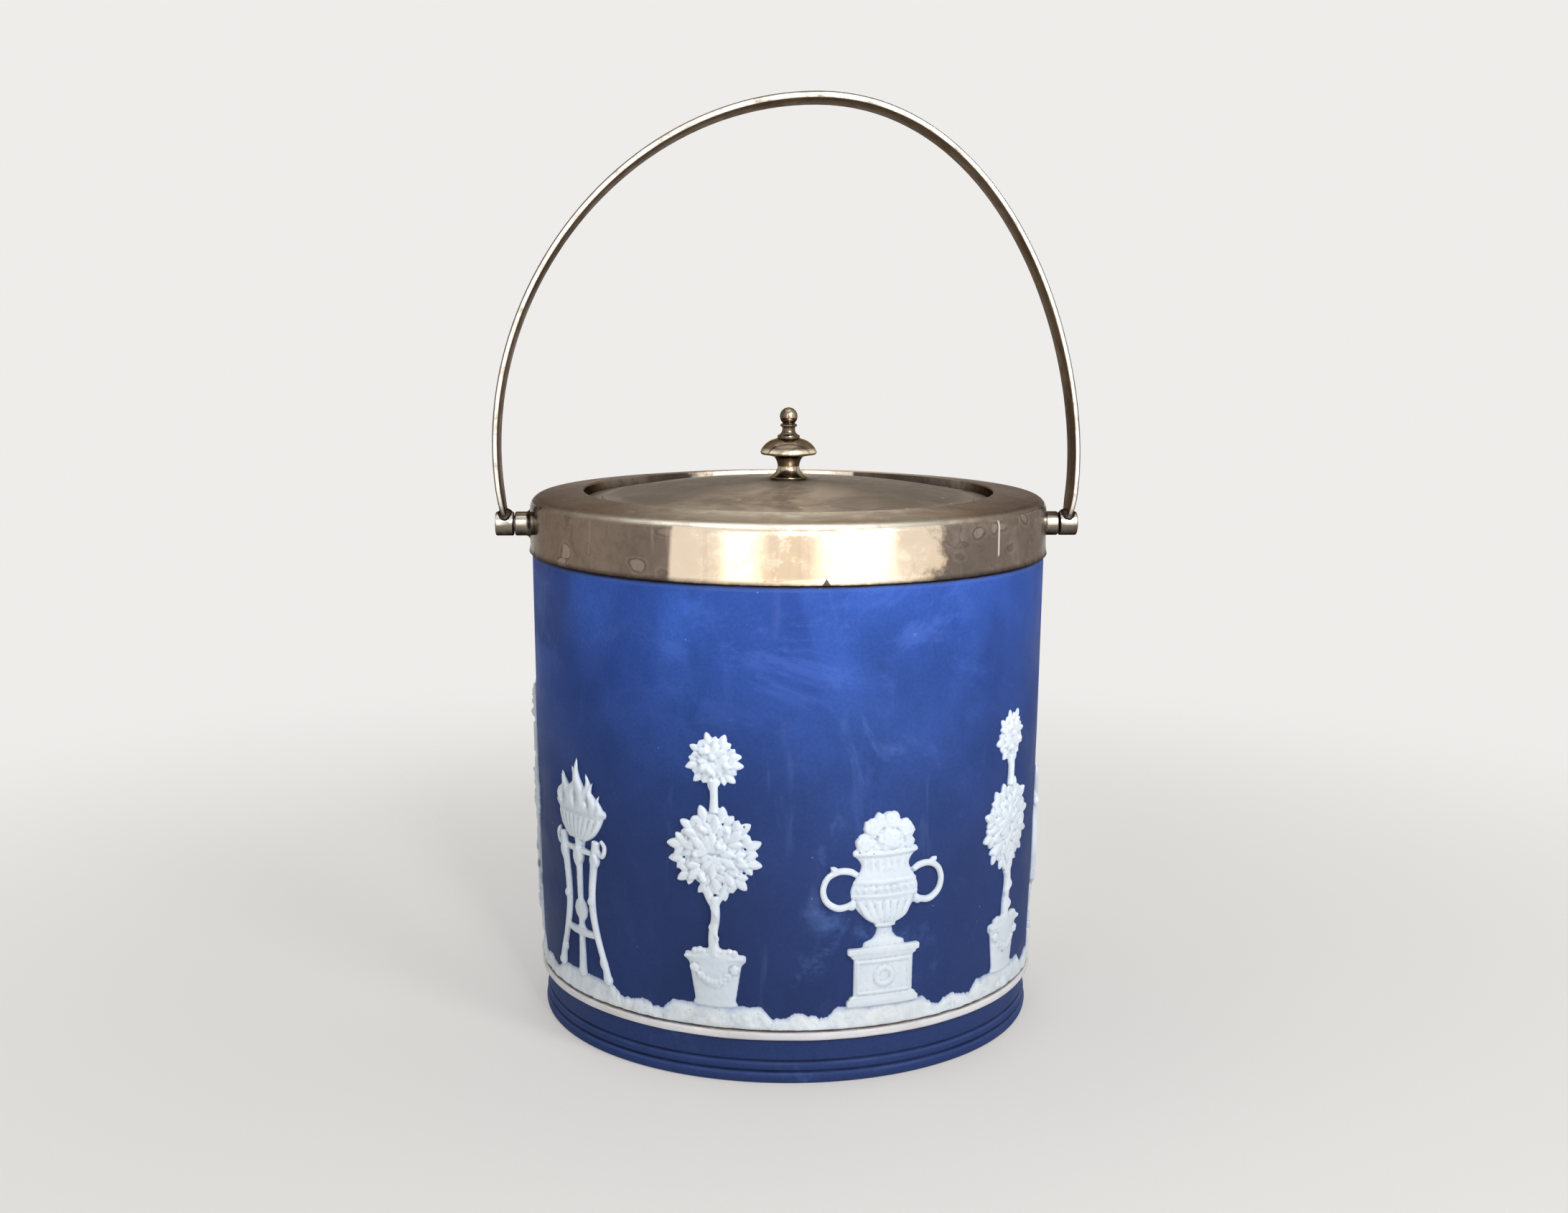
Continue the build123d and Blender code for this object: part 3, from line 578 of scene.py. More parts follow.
def specks_and_scuffs(mix, colour, specks, brown):
    """Pale specks in some places, brown smears from wiping, and pale scuffs."""
    speck = mix.dots(mix.cells(250), 0.20, 0.12, 0.60)
    speck = mix.times(speck, mix.between(mix.grain(34, 3, shift=9.2), 0.47, 0.53))
    colour = mix.coat(colour, speck, specks, LID_SPECK)
    smears = mix.between(mix.grain(24, 6, 0.68, stretch=(0.45, 1, 1), distortion=1.3, shift=6.4), 0.45, 0.55)
    colour = mix.coat(colour, smears, 0.58, brown)
    scuffs = mix.between(mix.grain(60, 7, 0.75, stretch=(0.30, 1, 1), distortion=0.4), 0.57, 0.70)
    return mix.coat(colour, scuffs, 0.45, LID_SCUFF)


def old_plate(
    name, bright, brown, brown_share, gloss, rim, wear_and_highlight=None, wiped_and_reflected=None, wiped_and_reflected_rim=(0.95, 0.92, 0.86),
    spans=(), softness=0.6, side_brown_and_reflection=0.0, stains=0.0, specks=0.0, scratches=0.3,
):
    """Worn plate over brass: clouds of brown tarnish, water marks, pits and wiping scratches.

    The rim colours tint the gloss at grazing angles. Stained plate always has bright patches too, partly wiped
    and partly painted reflection.
    """
    mix = Recipe(name)
    mix.shader.inputs["Metallic"].default_value = 1.0
    mix.shader.inputs["Specular Tint"].default_value = (*rim, 1)
    low = 0.62 - 0.3 * brown_share
    clouds = mix.between(mix.grain(34, 6, 0.62, distortion=0.5), low - 0.14, low + 0.14, 1.0, 0.0)
    mottle = mix.between(mix.grain(260, 5, 0.7), 0.42, 0.68)
    darker = shaded(brown, 0.5)
    colour = mix.coat(mix.blend(clouds, brown, bright), mottle, 0.35, darker)
    # Browner towards the left: partly tarnish, partly painted reflection of dark surroundings.
    if side_brown_and_reflection:
        colour = mix.blend(mix.between(mix.bearing(), 40, -75, 0.0, side_brown_and_reflection), colour, SIDE_TARNISH_AND_REFLECTION)
    # Bright patches: partly wiped metal, partly painted reflection.
    if wiped_and_reflected:
        bright_share = bright_patches(mix, spans, softness)
        mix.put(mix.shader.inputs["Specular Tint"], mix.blend(bright_share, rim, wiped_and_reflected_rim))
        colour = mix.blend(bright_share, colour, bright_patch_metal(mix, wiped_and_reflected))
    if stains:
        colour = water_marks(mix, colour, stains, bright_share, shaded(bright, 1.9), darker)
        colour = scratch_and_notch(mix, colour)
    if specks:
        colour = specks_and_scuffs(mix, colour, specks, brown)
    # Wear and painted highlights where each piece's points say so.
    if wear_and_highlight:
        wear_and_highlight_share = mix.times(mix.told("wear_and_highlight"), mix.between(mix.grain(170, 5, 0.7), 0.30, 0.55, 0.35, 1.0))
        colour = mix.blend(wear_and_highlight_share, colour, wear_and_highlight)
    # Painted shade where each piece's points say so.
    shade_share = mix.times(mix.told("painted_shade"), mix.between(mix.grain(420, 4, 0.7), 0.2, 0.6, 0.7, 1.0))
    colour = mix.blend(shade_share, colour, SHADE_BLACK)
    rough = mix.plus(mix.times(mottle, 0.14), gloss)
    rough = mix.plus(rough, mix.times(mix.sums("SUBTRACT", 1.0, clouds), 0.08))
    rough = mix.plus(rough, mix.times(shade_share, 0.25))
    wiping = mix.relief(mix.lathe_lines(1900, 3), scratches, 0.02)
    dents = mix.relief(mix.grain(45, 2), 0.2, 0.16, wiping)
    pits = mix.relief(mix.grain(700, 4, 0.7), 0.22, 0.04, dents)
    return mix.complete(colour, rough, pits)


BLUE = blue_stoneware()
WHITE = white_stoneware()
RING_WHITE = white_stoneware("ring_white", (0.74, 0.75, 0.79), (0.82, 0.82, 0.85))
GROUND_WHITE = white_stoneware("ground_white", (0.74, 0.82, 0.89), (0.80, 0.865, 0.92), 0.26)
LINING = glazed_inside()
PLASTER = dry_plaster()
# The bright colour over each plate's spans is partly wiped metal and partly painted reflection; in the throat
# only painted reflection.
SKIRT_PLATE = old_plate(
    "skirt_plate", (0.36, 0.290, 0.240), (0.205, 0.165, 0.138), 0.5, 0.12, rim=(0.60, 0.57, 0.54),
    wear_and_highlight=(0.80, 0.72, 0.60), wiped_and_reflected=(0.95, 0.79, 0.61),
    spans=((-27, 26), (80, 114, 5), (162, 203, 4), (-126, -94, 6)), side_brown_and_reflection=0.62, stains=0.62,
)
FLANGE_PLATE = old_plate(
    "flange_plate", (0.25, 0.205, 0.170), (0.165, 0.135, 0.113), 0.5, 0.30, rim=(0.33, 0.27, 0.24),
    wear_and_highlight=(0.92, 0.86, 0.75), wiped_and_reflected=(0.38, 0.33, 0.265), wiped_and_reflected_rim=(0.46, 0.41, 0.345),
    spans=((-34, 34), (130, 190)), softness=24, stains=0.4,
)
THROAT_PLATE = old_plate(
    "throat_plate", (0.20, 0.165, 0.135), (0.10, 0.08, 0.065), 0.5, 0.14, rim=(0.4, 0.33, 0.27),
    wiped_and_reflected=(1.0, 0.98, 0.94), wiped_and_reflected_rim=(1.0, 0.98, 0.95), spans=((157, 206), (-30, 24)),
)
LID_PLATE = old_plate(
    "lid_plate", (0.30, 0.264, 0.226), (0.19, 0.165, 0.143), 0.5, 0.33, rim=(0.40, 0.355, 0.31),
    wear_and_highlight=(0.52, 0.47, 0.40), wiped_and_reflected=(0.45, 0.405, 0.352), wiped_and_reflected_rim=(0.55, 0.49, 0.43),
    spans=((-40, 32), (136, 220)), softness=30, specks=0.95, scratches=0.6,
)
KNOB_PLATE = old_plate(
    "knob_plate", (0.23, 0.178, 0.132), (0.115, 0.085, 0.061), 0.45, 0.10,
    rim=(0.46, 0.39, 0.32), wear_and_highlight=(1.0, 0.84, 0.62),
)
STRAP_PLATE = old_plate(
    "strap_plate", (0.15, 0.120, 0.096), (0.09, 0.072, 0.058), 0.4, 0.30,
    rim=(0.42, 0.36, 0.31), wear_and_highlight=(0.97, 0.90, 0.80),
)
PIVOT_PLATE = old_plate(
    "pivot_plate", (0.33, 0.28, 0.225), (0.14, 0.112, 0.088), 0.45, 0.14,
    rim=(0.5, 0.43, 0.37), wear_and_highlight=(0.98, 0.93, 0.83),
)
SOLDER = old_plate("solder", (0.08, 0.068, 0.058), (0.035, 0.030, 0.026), 0.7, 0.40, rim=(0.2, 0.17, 0.14))


def store(piece, name, values):
    """Stores a list of values, one for each of a piece's points."""
    told = piece.data.attributes.new(name, "FLOAT", "POINT")
    told.data.foreach_set("value", values)


def note(piece, name, rule):
    """Stores a value from 0 to 1 at each of a piece's points, from a rule on its place in millimetres."""
    store(piece, name, [min(max(rule(*(vertex.co / MM)), 0.0), 1.0) for vertex in piece.data.vertices])


def finished(piece, body, slot, finish, *nodes):
    """Gives a piece its finish and sets it on its body in place of the plain solids that it dresses."""
    if finish:
        piece.data.materials.clear()
        piece.data.materials.append(finish)
    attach(piece, body)
    if nodes:
        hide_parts(*nodes)


# ---------------------------------------------------------------- jar
WALL = [(65.7, 11.3), (66.7, 42.0), (67.4, 78.0), (67.9, 123.6)]  # radius and height, in millimetres


def wall_radius(height):
    """The wall's radius at a height, in millimetres."""
    for (low_radius, low), (high_radius, high) in zip(WALL, WALL[1:]):
        if height <= high or (high_radius, high) == WALL[-1]:
            return low_radius + (high_radius - low_radius) * (height - low) / (high - low)
    return WALL[-1][0]


def is_lining(place):
    """Whether a place in metres is on the glazed inside: its floor, its wall or the neck's rounded lip."""
    radius, height = hypot(place.x, place.y) / MM, place.z / MM
    on_neck = height > 132.5 and radius < 64.7
    return 8.5 < height < 133.7 and (radius < 63.4 or on_neck)


def throw_jar():
    """The blue jar with its turned foot, and its glazed inside."""
    foot = [(0, 2.2), (57.5, 2.2), (57.6, 0.0), (65.6, 0.0), (65.85, 1.5), (65.45, 2.75), (64.85, 3.1)]
    foot += [(65.4, 3.45), (65.55, 4.3), (65.2, 5.3), (64.7, 5.6), (65.15, 6.0), (65.68, 11.3)]
    foot = eased(foot, [0.0, 0.8, 0.8, 1.6, 0.3, 0.12, 0.2, 1.2, 0.25, 0.12, 0.3], 4)
    wall = [(wall_radius(height), height) for height in (14, *range(20, 117, 8), 122)]
    neck = [(67.88, 122.6), (67.9, 123.6), (65.3, 123.6), (65.3, 133.6), (61.3, 133.6), (60.5, 8.7), (0, 8.7)]
    neck = eased(neck, [0.3, 0.3, 1.2, 1.2, 7.0], 5)
    piece = turned("jar_of_blue_stoneware", foot + wall + neck, 224)
    piece.data.materials.append(BLUE)
    piece.data.materials.append(LINING)
    for face in piece.data.polygons:
        face.material_index = int(is_lining(face.center))
    finished(smooth(piece, 28), "jar", "jasper", None, "jar_body")


def neighbours(mesh):
    """The points joined to each point by an edge."""
    near = [[] for _ in mesh.vertices]
    for first, second in mesh.edge_keys:
        near[first].append(second)
        near[second].append(first)
    return near


def note_clay(piece, all_thick=False):
    """Stores how thick the white clay is at each point, and how deep in a hollow the point lies."""
    mesh = piece.data
    near = neighbours(mesh)
    places = [vertex.co.copy() for vertex in mesh.vertices]
    bend = []
    for vertex, here, around in zip(mesh.vertices, places, near):
        if not around:
            bend.append(0.0)
            continue
        middle = sum((places[other] for other in around), Vector()) / len(around)
        reach = sum((places[other] - here).length for other in around) / len(around)
        bend.append((middle - here).dot(vertex.normal) / max(reach, 1e-9))
    for _ in range(2):
        bend = [
            0.5 * value + 0.5 * sum(bend[other] for other in around) / max(len(around), 1)
            for value, around in zip(bend, near)
        ]
    store(piece, "hollow", [min(max(value * 6.0, 0.0), 1.0) for value in bend])
    if all_thick:
        depths = [1.0] * len(places)
    else:
        depths = [max(hypot(spot.x, spot.y) / MM - wall_radius(spot.z / MM), 0.0) for spot in places]
    store(piece, "clay_depth", depths)
    return piece


RING_OUTSIDE = 0.0658  # metres from the axis: only the ring's outside is uneven


def pull_ring():
    """The white moulded ring, rounded by hand and a little uneven."""
    section = eased([(65.3, 11.35), (66.75, 11.3), (66.8, 13.55), (65.3, 13.6)], [0.85, 0.9], 6)
    piece = turned("moulded_ring", section, 360, ring=True)
    for vertex in piece.data.vertices:
        wobble = noise.noise(vertex.co * 130) * 0.07 + noise.noise(vertex.co * 600) * 0.025
        outward = Vector((vertex.co.x, vertex.co.y, 0)).normalized()
        if hypot(vertex.co.x, vertex.co.y) > RING_OUTSIDE:
            vertex.co += outward * wobble * MM
            vertex.co.z += noise.noise(vertex.co * 210) * 0.06 * MM
    smooth(piece, 60)
    finished(note_clay(piece, all_thick=True), "jar", "white_relief", RING_WHITE, "ground_ring")


SPRIG_COUNT = 10
SPRIG_FOOT = 19.35
SPRIG_ANGLES = [-90 + (index + 0.5) * 360 / SPRIG_COUNT for index in range(SPRIG_COUNT)]
GROUND_LOW, GROUND_TOP = 13.95, 17.55
GROUND_SUNK = 0.3  # how far the ground's flat back lies inside the wall, in millimetres


def ground_edge(angle):
    """Height of the rocky ground's upper edge at an angle round the jar, in degrees."""
    away = min(abs((angle - sprig + 180) % 360 - 180) for sprig in SPRIG_ANGLES) * radians(1) * 66.3
    ledge = min(max((14.2 - away) / 2.8, 0.0), 1.0)
    between = min(max(1.0 - ((21.3 - away) / 4.2) ** 2, 0.0), 1.0)
    here = Vector((cos(radians(angle)), sin(radians(angle)), 0))
    rough = 0.75 * noise.fractal(here * 24, 0.8, 2.1, 5) + 0.3 * noise.noise(here * 95)
    return GROUND_TOP - 0.35 + 2.75 * ledge + 1.2 * between + rough * (1.0 - 0.6 * ledge)


def stone_depth(spot, share):
    """How far the ground stands out at a spot in millimetres, from its foot at share 0 to its edge at 1."""
    if share == 1:
        return -0.25
    swell = max(0.0, 1 - share**2.1) ** 1.05 * min(1.0, 0.55 + share * 5)
    stones = noise.fractal(spot * 0.36, 0.9, 2.0, 4)
    lump = 0.62 - noise.voronoi(spot * 0.30)[0][0]
    pebble = 0.5 - noise.voronoi(spot * 0.85)[0][0]
    return max(swell * (0.82 + 0.30 * stones + 0.55 * lump + 0.20 * pebble), 0.02)


def lay_ground():
    """The rocky ground band: ledges, stones and slabs pressed on to the wall."""
    turns, rows = 1700, 19
    points = []
    for turn in range(turns):
        angle = 360 * turn / turns
        way = Vector((cos(radians(angle)), sin(radians(angle)), 0))
        edge = ground_edge(angle)
        for row in range(rows):
            share = row / (rows - 1)
            height = GROUND_LOW + (edge - GROUND_LOW) * share
            up = Vector((0, 0, height))
            radius = wall_radius(height) + stone_depth(way * 66 + up, share)
            points.append(tuple((way * radius + up) * MM))
        for height in (edge, GROUND_LOW):
            radius = wall_radius(height) - GROUND_SUNK
            points.append(tuple((way * radius + Vector((0, 0, height))) * MM))
    loop = rows + 2
    faces = []
    for turn in range(turns):
        after = (turn + 1) % turns
        for row in range(loop):
            up = (row + 1) % loop
            faces.append((turn * loop + row, after * loop + row, after * loop + up, turn * loop + up))
    piece = heal(from_points("rocky_ground", points, (), faces))
    smooth(piece, 55)
    finished(note_clay(piece), "jar", "white_relief", GROUND_WHITE, "ground_frieze")


throw_jar()
pull_ring()
lay_ground()


# ---------------------------------------------------------------- moulds for the sprigs
# Each sprig is pressed flat first, in millimetres: x to the right, y up from the ground, z out of the wall.
CLAY_GRAIN = 0.25  # the finest detail that the clay holds
CLAY_DEEPEST = 2.3  # the depth that the clay levels off at
CLAY_STEEPNESS = 2.718  # how fast it does so


def leaf_mould(name, length, width, depth, full):
    """A leaf on its back: stem at the origin, tip up, with a groove for its vein."""
    bpy.ops.object.select_all(action="DESELECT")
    bpy.ops.mesh.primitive_grid_add(x_subdivisions=8, y_subdivisions=10, size=2, location=(0, 0, 0))
    piece = bpy.context.active_object
    piece.name = name
    for vertex in piece.data.vertices:
        side, along = vertex.co.x, (vertex.co.y + 1) / 2
        half = width / 2 * max(sin(pi * along**full), 0.0) ** 0.8 + 0.05
        crown = depth * (1 - abs(side) ** 2.4) * (0.45 + 0.55 * sin(pi * min(0.2 + along * 0.75, 1.0)))
        vein = 0.45 * depth * max(1 - abs(side) / 0.3, 0.0) * (1 - along * 0.8)
        vertex.co = (side * half, along * length, 0.2 * depth + crown - vein)
    edit(piece)
    bpy.ops.mesh.extrude_region_move(TRANSFORM_OT_translate={"value": (0, 0, -2.0)})
    bpy.ops.mesh.select_all(action="SELECT")
    bpy.ops.mesh.normals_make_consistent(inside=False)
    done()
    return piece


def ball_mould(name):
    """A berry, one millimetre in radius."""
    bpy.ops.object.select_all(action="DESELECT")
    bpy.ops.mesh.primitive_ico_sphere_add(subdivisions=3, radius=1.0, location=(0, 0, 0))
    piece = bpy.context.active_object
    piece.name = name
    return piece


def copied(mould, x=0.0, y=0.0, z=0.0, turn=0.0, size=1.0, tilt=0.0, wide=1.0):
    """A copy of a mould, sized, tilted off the wall, turned on it and put in its place."""
    piece = mould.copy()
    piece.data = mould.data.copy()
    bpy.context.scene.collection.objects.link(piece)
    place = Matrix.Translation((x, y, z)) @ Matrix.Rotation(radians(turn), 4, "Z")
    place = place @ Matrix.Rotation(radians(tilt), 4, "X") @ Matrix.Diagonal((size * wide, size, size, 1))
    piece.data.transform(place)
    return piece


LEAF = leaf_mould("leaf", 4.4, 2.5, 0.75, full=1.05)
PETAL = leaf_mould("petal", 1.9, 1.9, 0.6, full=1.5)
BALL = ball_mould("ball")


def twig_mould():
    """Five leaves fanned from one stem."""
    fan = [(0, 1.5, 0, 1.0), (-0.5, 1.0, 40, 0.82), (0.5, 0.9, -42, 0.84)]
    fan += [(-0.45, 0.1, 82, 0.66), (0.45, 0.0, -80, 0.66)]
    leaves = []
    for index, (x, y, turn, size) in enumerate(fan):
        leaves.append(copied(LEAF, x, y, 0.12 * (index % 2), turn, size))
    return weld("twig", leaves)


TWIG = twig_mould()


def half_turned(profile, share):
    """A turned form in low relief: a full spin about the upright axis, pressed to a share of its depth."""
    edges = [(index, index + 1) for index in range(len(profile) - 1)]
    piece = from_points("turned_form", [(radius, height, 0) for radius, height in profile], edges)
    edit(piece)
    bpy.ops.mesh.spin(steps=36, angle=2 * pi, center=(0, 0, 0), axis=(0, 1, 0))
    done()
    heal(piece, 0.0005)
    piece.data.transform(Matrix.Diagonal((1, 1, share, 1)))
    return piece


def block(left, right, low, high, depth, edge):
    """A flat block with eased edges."""
    bpy.ops.object.select_all(action="DESELECT")
    bpy.ops.mesh.primitive_cube_add(size=1, location=((left + right) / 2, (low + high) / 2, depth / 2 - 0.75))
    piece = bpy.context.active_object
    piece.scale = (right - left, high - low, depth + 1.5)
    settle(piece)
    edit(piece)
    bpy.ops.mesh.bevel(offset=edge, segments=3, affect="EDGES")
    done()
    return piece


def rolled(points, radii, depth=0.0):
    """A rolled coil of clay through points, thicker or thinner on the way. Flat points all have one depth."""
    spots = [(*point, depth) if len(point) == 2 else point for point in points]
    if isinstance(radii, (int, float)):
        radii = [radii] * len(points)
    line = flowing([(*spot, radius) for spot, radius in zip(spots, radii)])
    curve = bpy.data.curves.new("roll", "CURVE")
    curve.dimensions = "3D"
    curve.bevel_depth = 1.0
    curve.bevel_resolution = 3
    curve.use_fill_caps = True
    spline = curve.splines.new("POLY")
    spline.points.add(len(line) - 1)
    for point, (x, y, z, radius) in zip(spline.points, line):
        point.co = (x, y, z, 1)
        point.radius = max(radius, 0.05)
    piece = bpy.data.objects.new("roll", curve)
    bpy.context.scene.collection.objects.link(piece)
    take_up(piece)
    bpy.ops.object.convert(target="MESH")
    return bpy.context.active_object


def rose(x, y, z, size, turn=0.0):
    """An open flower: two rings of cupped petals about a button."""
    parts = [copied(BALL, x, y, z + 0.34 * size, size=0.29 * size)]
    for start, lift, petal, tilt, wide in ((0, 0.0, 0.60, 14, 1.0), (36, 0.20, 0.37, 26, 0.95)):
        for index in range(5):
            way = turn + 72 * index + start
            parts.append(copied(PETAL, x, y, z + lift * size, way, size * petal, tilt, wide))
    return parts


def swag(left, right, sag, fat, z):
    """A hanging garland of leaves and berries, fullest in the middle."""
    parts = []
    steps = 9
    for index in range(steps + 1):
        share = index / steps
        x = left[0] + (right[0] - left[0]) * share
        y = left[1] + (right[1] - left[1]) * share - sag * 4 * share * (1 - share)
        swell = 0.5 + 0.5 * sin(pi * share)
        slope = -sag * 4 * (1 - 2 * share) / max(abs(right[0] - left[0]), 0.1)
        run = atan2(slope, 1) * 180 / pi
        parts.append(copied(BALL, x, y, z, size=fat * swell * random.uniform(0.8, 1.0)))
        if 0 < index < steps:
            for side in (-1, 1):
                heading = run - 90 + side * 38 if share < 0.5 else run + 90 + side * 38
                parts.append(copied(LEAF, x, y, z - 0.15, heading, 0.34 * (0.6 + 0.5 * swell), 8))
    return parts


def bush(x, y, radius, rings, twig_size, berries):
    """A clipped crown of overlapping leafy twigs and berries on a low dome."""
    parts = [copied(BALL, x, y, 0, size=radius * 0.62)]
    parts[0].data.transform(Matrix.Diagonal((1, 1, 0.8 / (radius * 0.62), 1)))
    for share, count, lift in rings:
        for index in range(count):
            way = 360 * (index + random.uniform(-0.12, 0.12)) / count + share * 137
            root = radius * share
            spot_x, spot_y = x - root * sin(radians(way)), y + root * cos(radians(way))
            size = twig_size * random.uniform(0.9, 1.08)
            sway = 16 + 50 * (1 - share / 0.54) ** 2
            heading = way + random.uniform(-sway, sway)
            parts.append(copied(TWIG, spot_x, spot_y, lift, heading, size, random.uniform(0, 6)))
    for share, way in berries:
        spot_x, spot_y = x - radius * share * sin(radians(way)), y + radius * share * cos(radians(way))
        parts.append(copied(BALL, spot_x, spot_y, 1.05, size=0.8))
    return parts


def press(name, parts):
    """Presses the parts into one soft clay sprig with a flat back, and notes its thickness and hollows."""
    piece = weld(name, parts)
    remesh = piece.modifiers.new("one lump", "REMESH")
    remesh.mode = "VOXEL"
    remesh.voxel_size = CLAY_GRAIN
    soften = piece.modifiers.new("soft edges", "SMOOTH")
    soften.factor, soften.iterations = 0.5, 2
    apply_all(piece)
    mesh = piece.data
    for vertex in mesh.vertices:
        x, y, z = vertex.co
        if z > 0:
            z = CLAY_DEEPEST * (1 - 2 / (1 + CLAY_STEEPNESS ** (2 * z / CLAY_DEEPEST)))
            z += 0.05 * noise.noise(Vector((x, y, 0)) * 0.9)
        vertex.co.z = max(z, -0.35)
    places = [vertex.co.copy() for vertex in mesh.vertices]
    total = [Vector() for _ in places]
    count = [0] * len(places)
    for first, second in mesh.edge_keys:
        total[first] += places[second]
        total[second] += places[first]
        count[first] += 1
        count[second] += 1
    bend = [
        ((whole / max(number, 1)) - spot).z if spot.z > 0.05 else 0.0
        for whole, number, spot in zip(total, count, places)
    ]
    for _ in range(2):
        soft = [0.0] * len(bend)
        for first, second in mesh.edge_keys:
            soft[first] += bend[second]
            soft[second] += bend[first]
        bend = [
            0.4 * value + 0.6 * gathered / max(number, 1)
            for value, gathered, number in zip(bend, soft, count)
        ]
    store(piece, "hollow", [min(max(value * 48, 0.0), 1.0) for value in bend])
    store(piece, "clay_depth", [max(spot.z, 0.0) for spot in places])
    return piece


def topiary(name):
    """A clipped tree with two crowns in a moulded tub."""
    tub = [(0, 0), (5.6, 0), (5.85, 0.5), (5.6, 1.1), (5.3, 1.5), (6.7, 10.4), (7.1, 11.1)]
    tub += [(7.75, 11.6), (7.95, 12.4), (7.85, 13.2), (7.3, 13.5), (0, 13.5)]
    parts = [half_turned(tub, 0.19)]
    parts += swag((-4.9, 9.6), (4.9, 9.6), 3.4, 0.72, 1.25)
    for side in (-1, 1):
        parts += rose(side * 5.1, 9.7, 1.05, 1.05)
    parts.append(rolled([(-7.7, 12.5), (0, 12.35), (7.7, 12.5)], 0.5, 1.0))
    parts += [copied(BALL, x * 1.25, 13.9 + 0.3 * (x % 2), 0.5, size=0.9) for x in range(-4, 5)]
    parts.append(rolled([(0.1, 13), (-0.35, 18), (0.35, 23), (0, 28)], [1.5, 1.2, 1.15, 1.2], 0.35))
    vine = [(-1.2, 15.5, 0.9), (1.1, 17.6, 1.5), (-1.0, 20.3, 0.9), (1.1, 22.6, 1.5), (-0.6, 25.4, 1.0)]
    parts.append(rolled(vine, 0.42))
    for side in (-1, 1):
        parts.append(rolled([(0, 25.2), (side * 1.7, 28.0), (side * 3.4, 32.5)], [0.8, 0.7, 0.5], 0.35))
    berries = [(0.5, 20), (0.56, 25), (0.36, 95), (0.5, 150), (0.55, 157), (0.3, 215), (0.52, 262)]
    berries += [(0.56, 330), (0.2, 330)]
    rings = [(0.54, 12, 0.0), (0.30, 8, 0.35), (0.06, 4, 0.7)]
    parts += bush(0, 38.6, 12.5, rings, 0.92, berries)
    parts.append(rolled([(0, 49), (0.15, 53), (0, 57)], [1.2, 1.0, 1.1], 0.35))
    berries = [(0.42, 35), (0.5, 48), (0.35, 160), (0.45, 255), (0.15, 10)]
    parts += bush(0, 61.6, 7.6, [(0.40, 9, 0.0), (0.08, 5, 0.45)], 0.72, berries)
    return press(name, parts)


def plinth(width, height):
    """A square plinth with steps, a cornice and a sunk panel that holds a wreath."""
    half = width / 2
    parts = [
        block(-half, half, 0, 1.7, 1.35, 0.35),
        block(-half + 0.7, half - 0.7, 1.5, 2.6, 1.2, 0.4),
        block(-half + 1.7, half - 1.7, 2.4, height - 2.2, 0.95, 0.2),
        block(-half + 0.9, half - 0.9, height - 2.6, height - 1.5, 1.2, 0.4),
        block(-half, half, height - 1.7, height, 1.4, 0.35),
    ]
    left, low, top = -half + 2.6, 3.5, height - 3.6
    rails = [((left, level), (-left, level)) for level in (low, top)]
    for rail in rails + [((across, low), (across, top)) for across in (left, -left)]:
        parts.append(rolled(rail, 0.34, 1.05))
    middle = (low + top) / 2
    for index in range(12):
        way = 30 * index
        x, y = 2.1 * cos(radians(way)), middle + 2.1 * sin(radians(way))
        parts.append(copied(LEAF, x, y, 1.0, way + 14, 0.44, 8))
    return parts


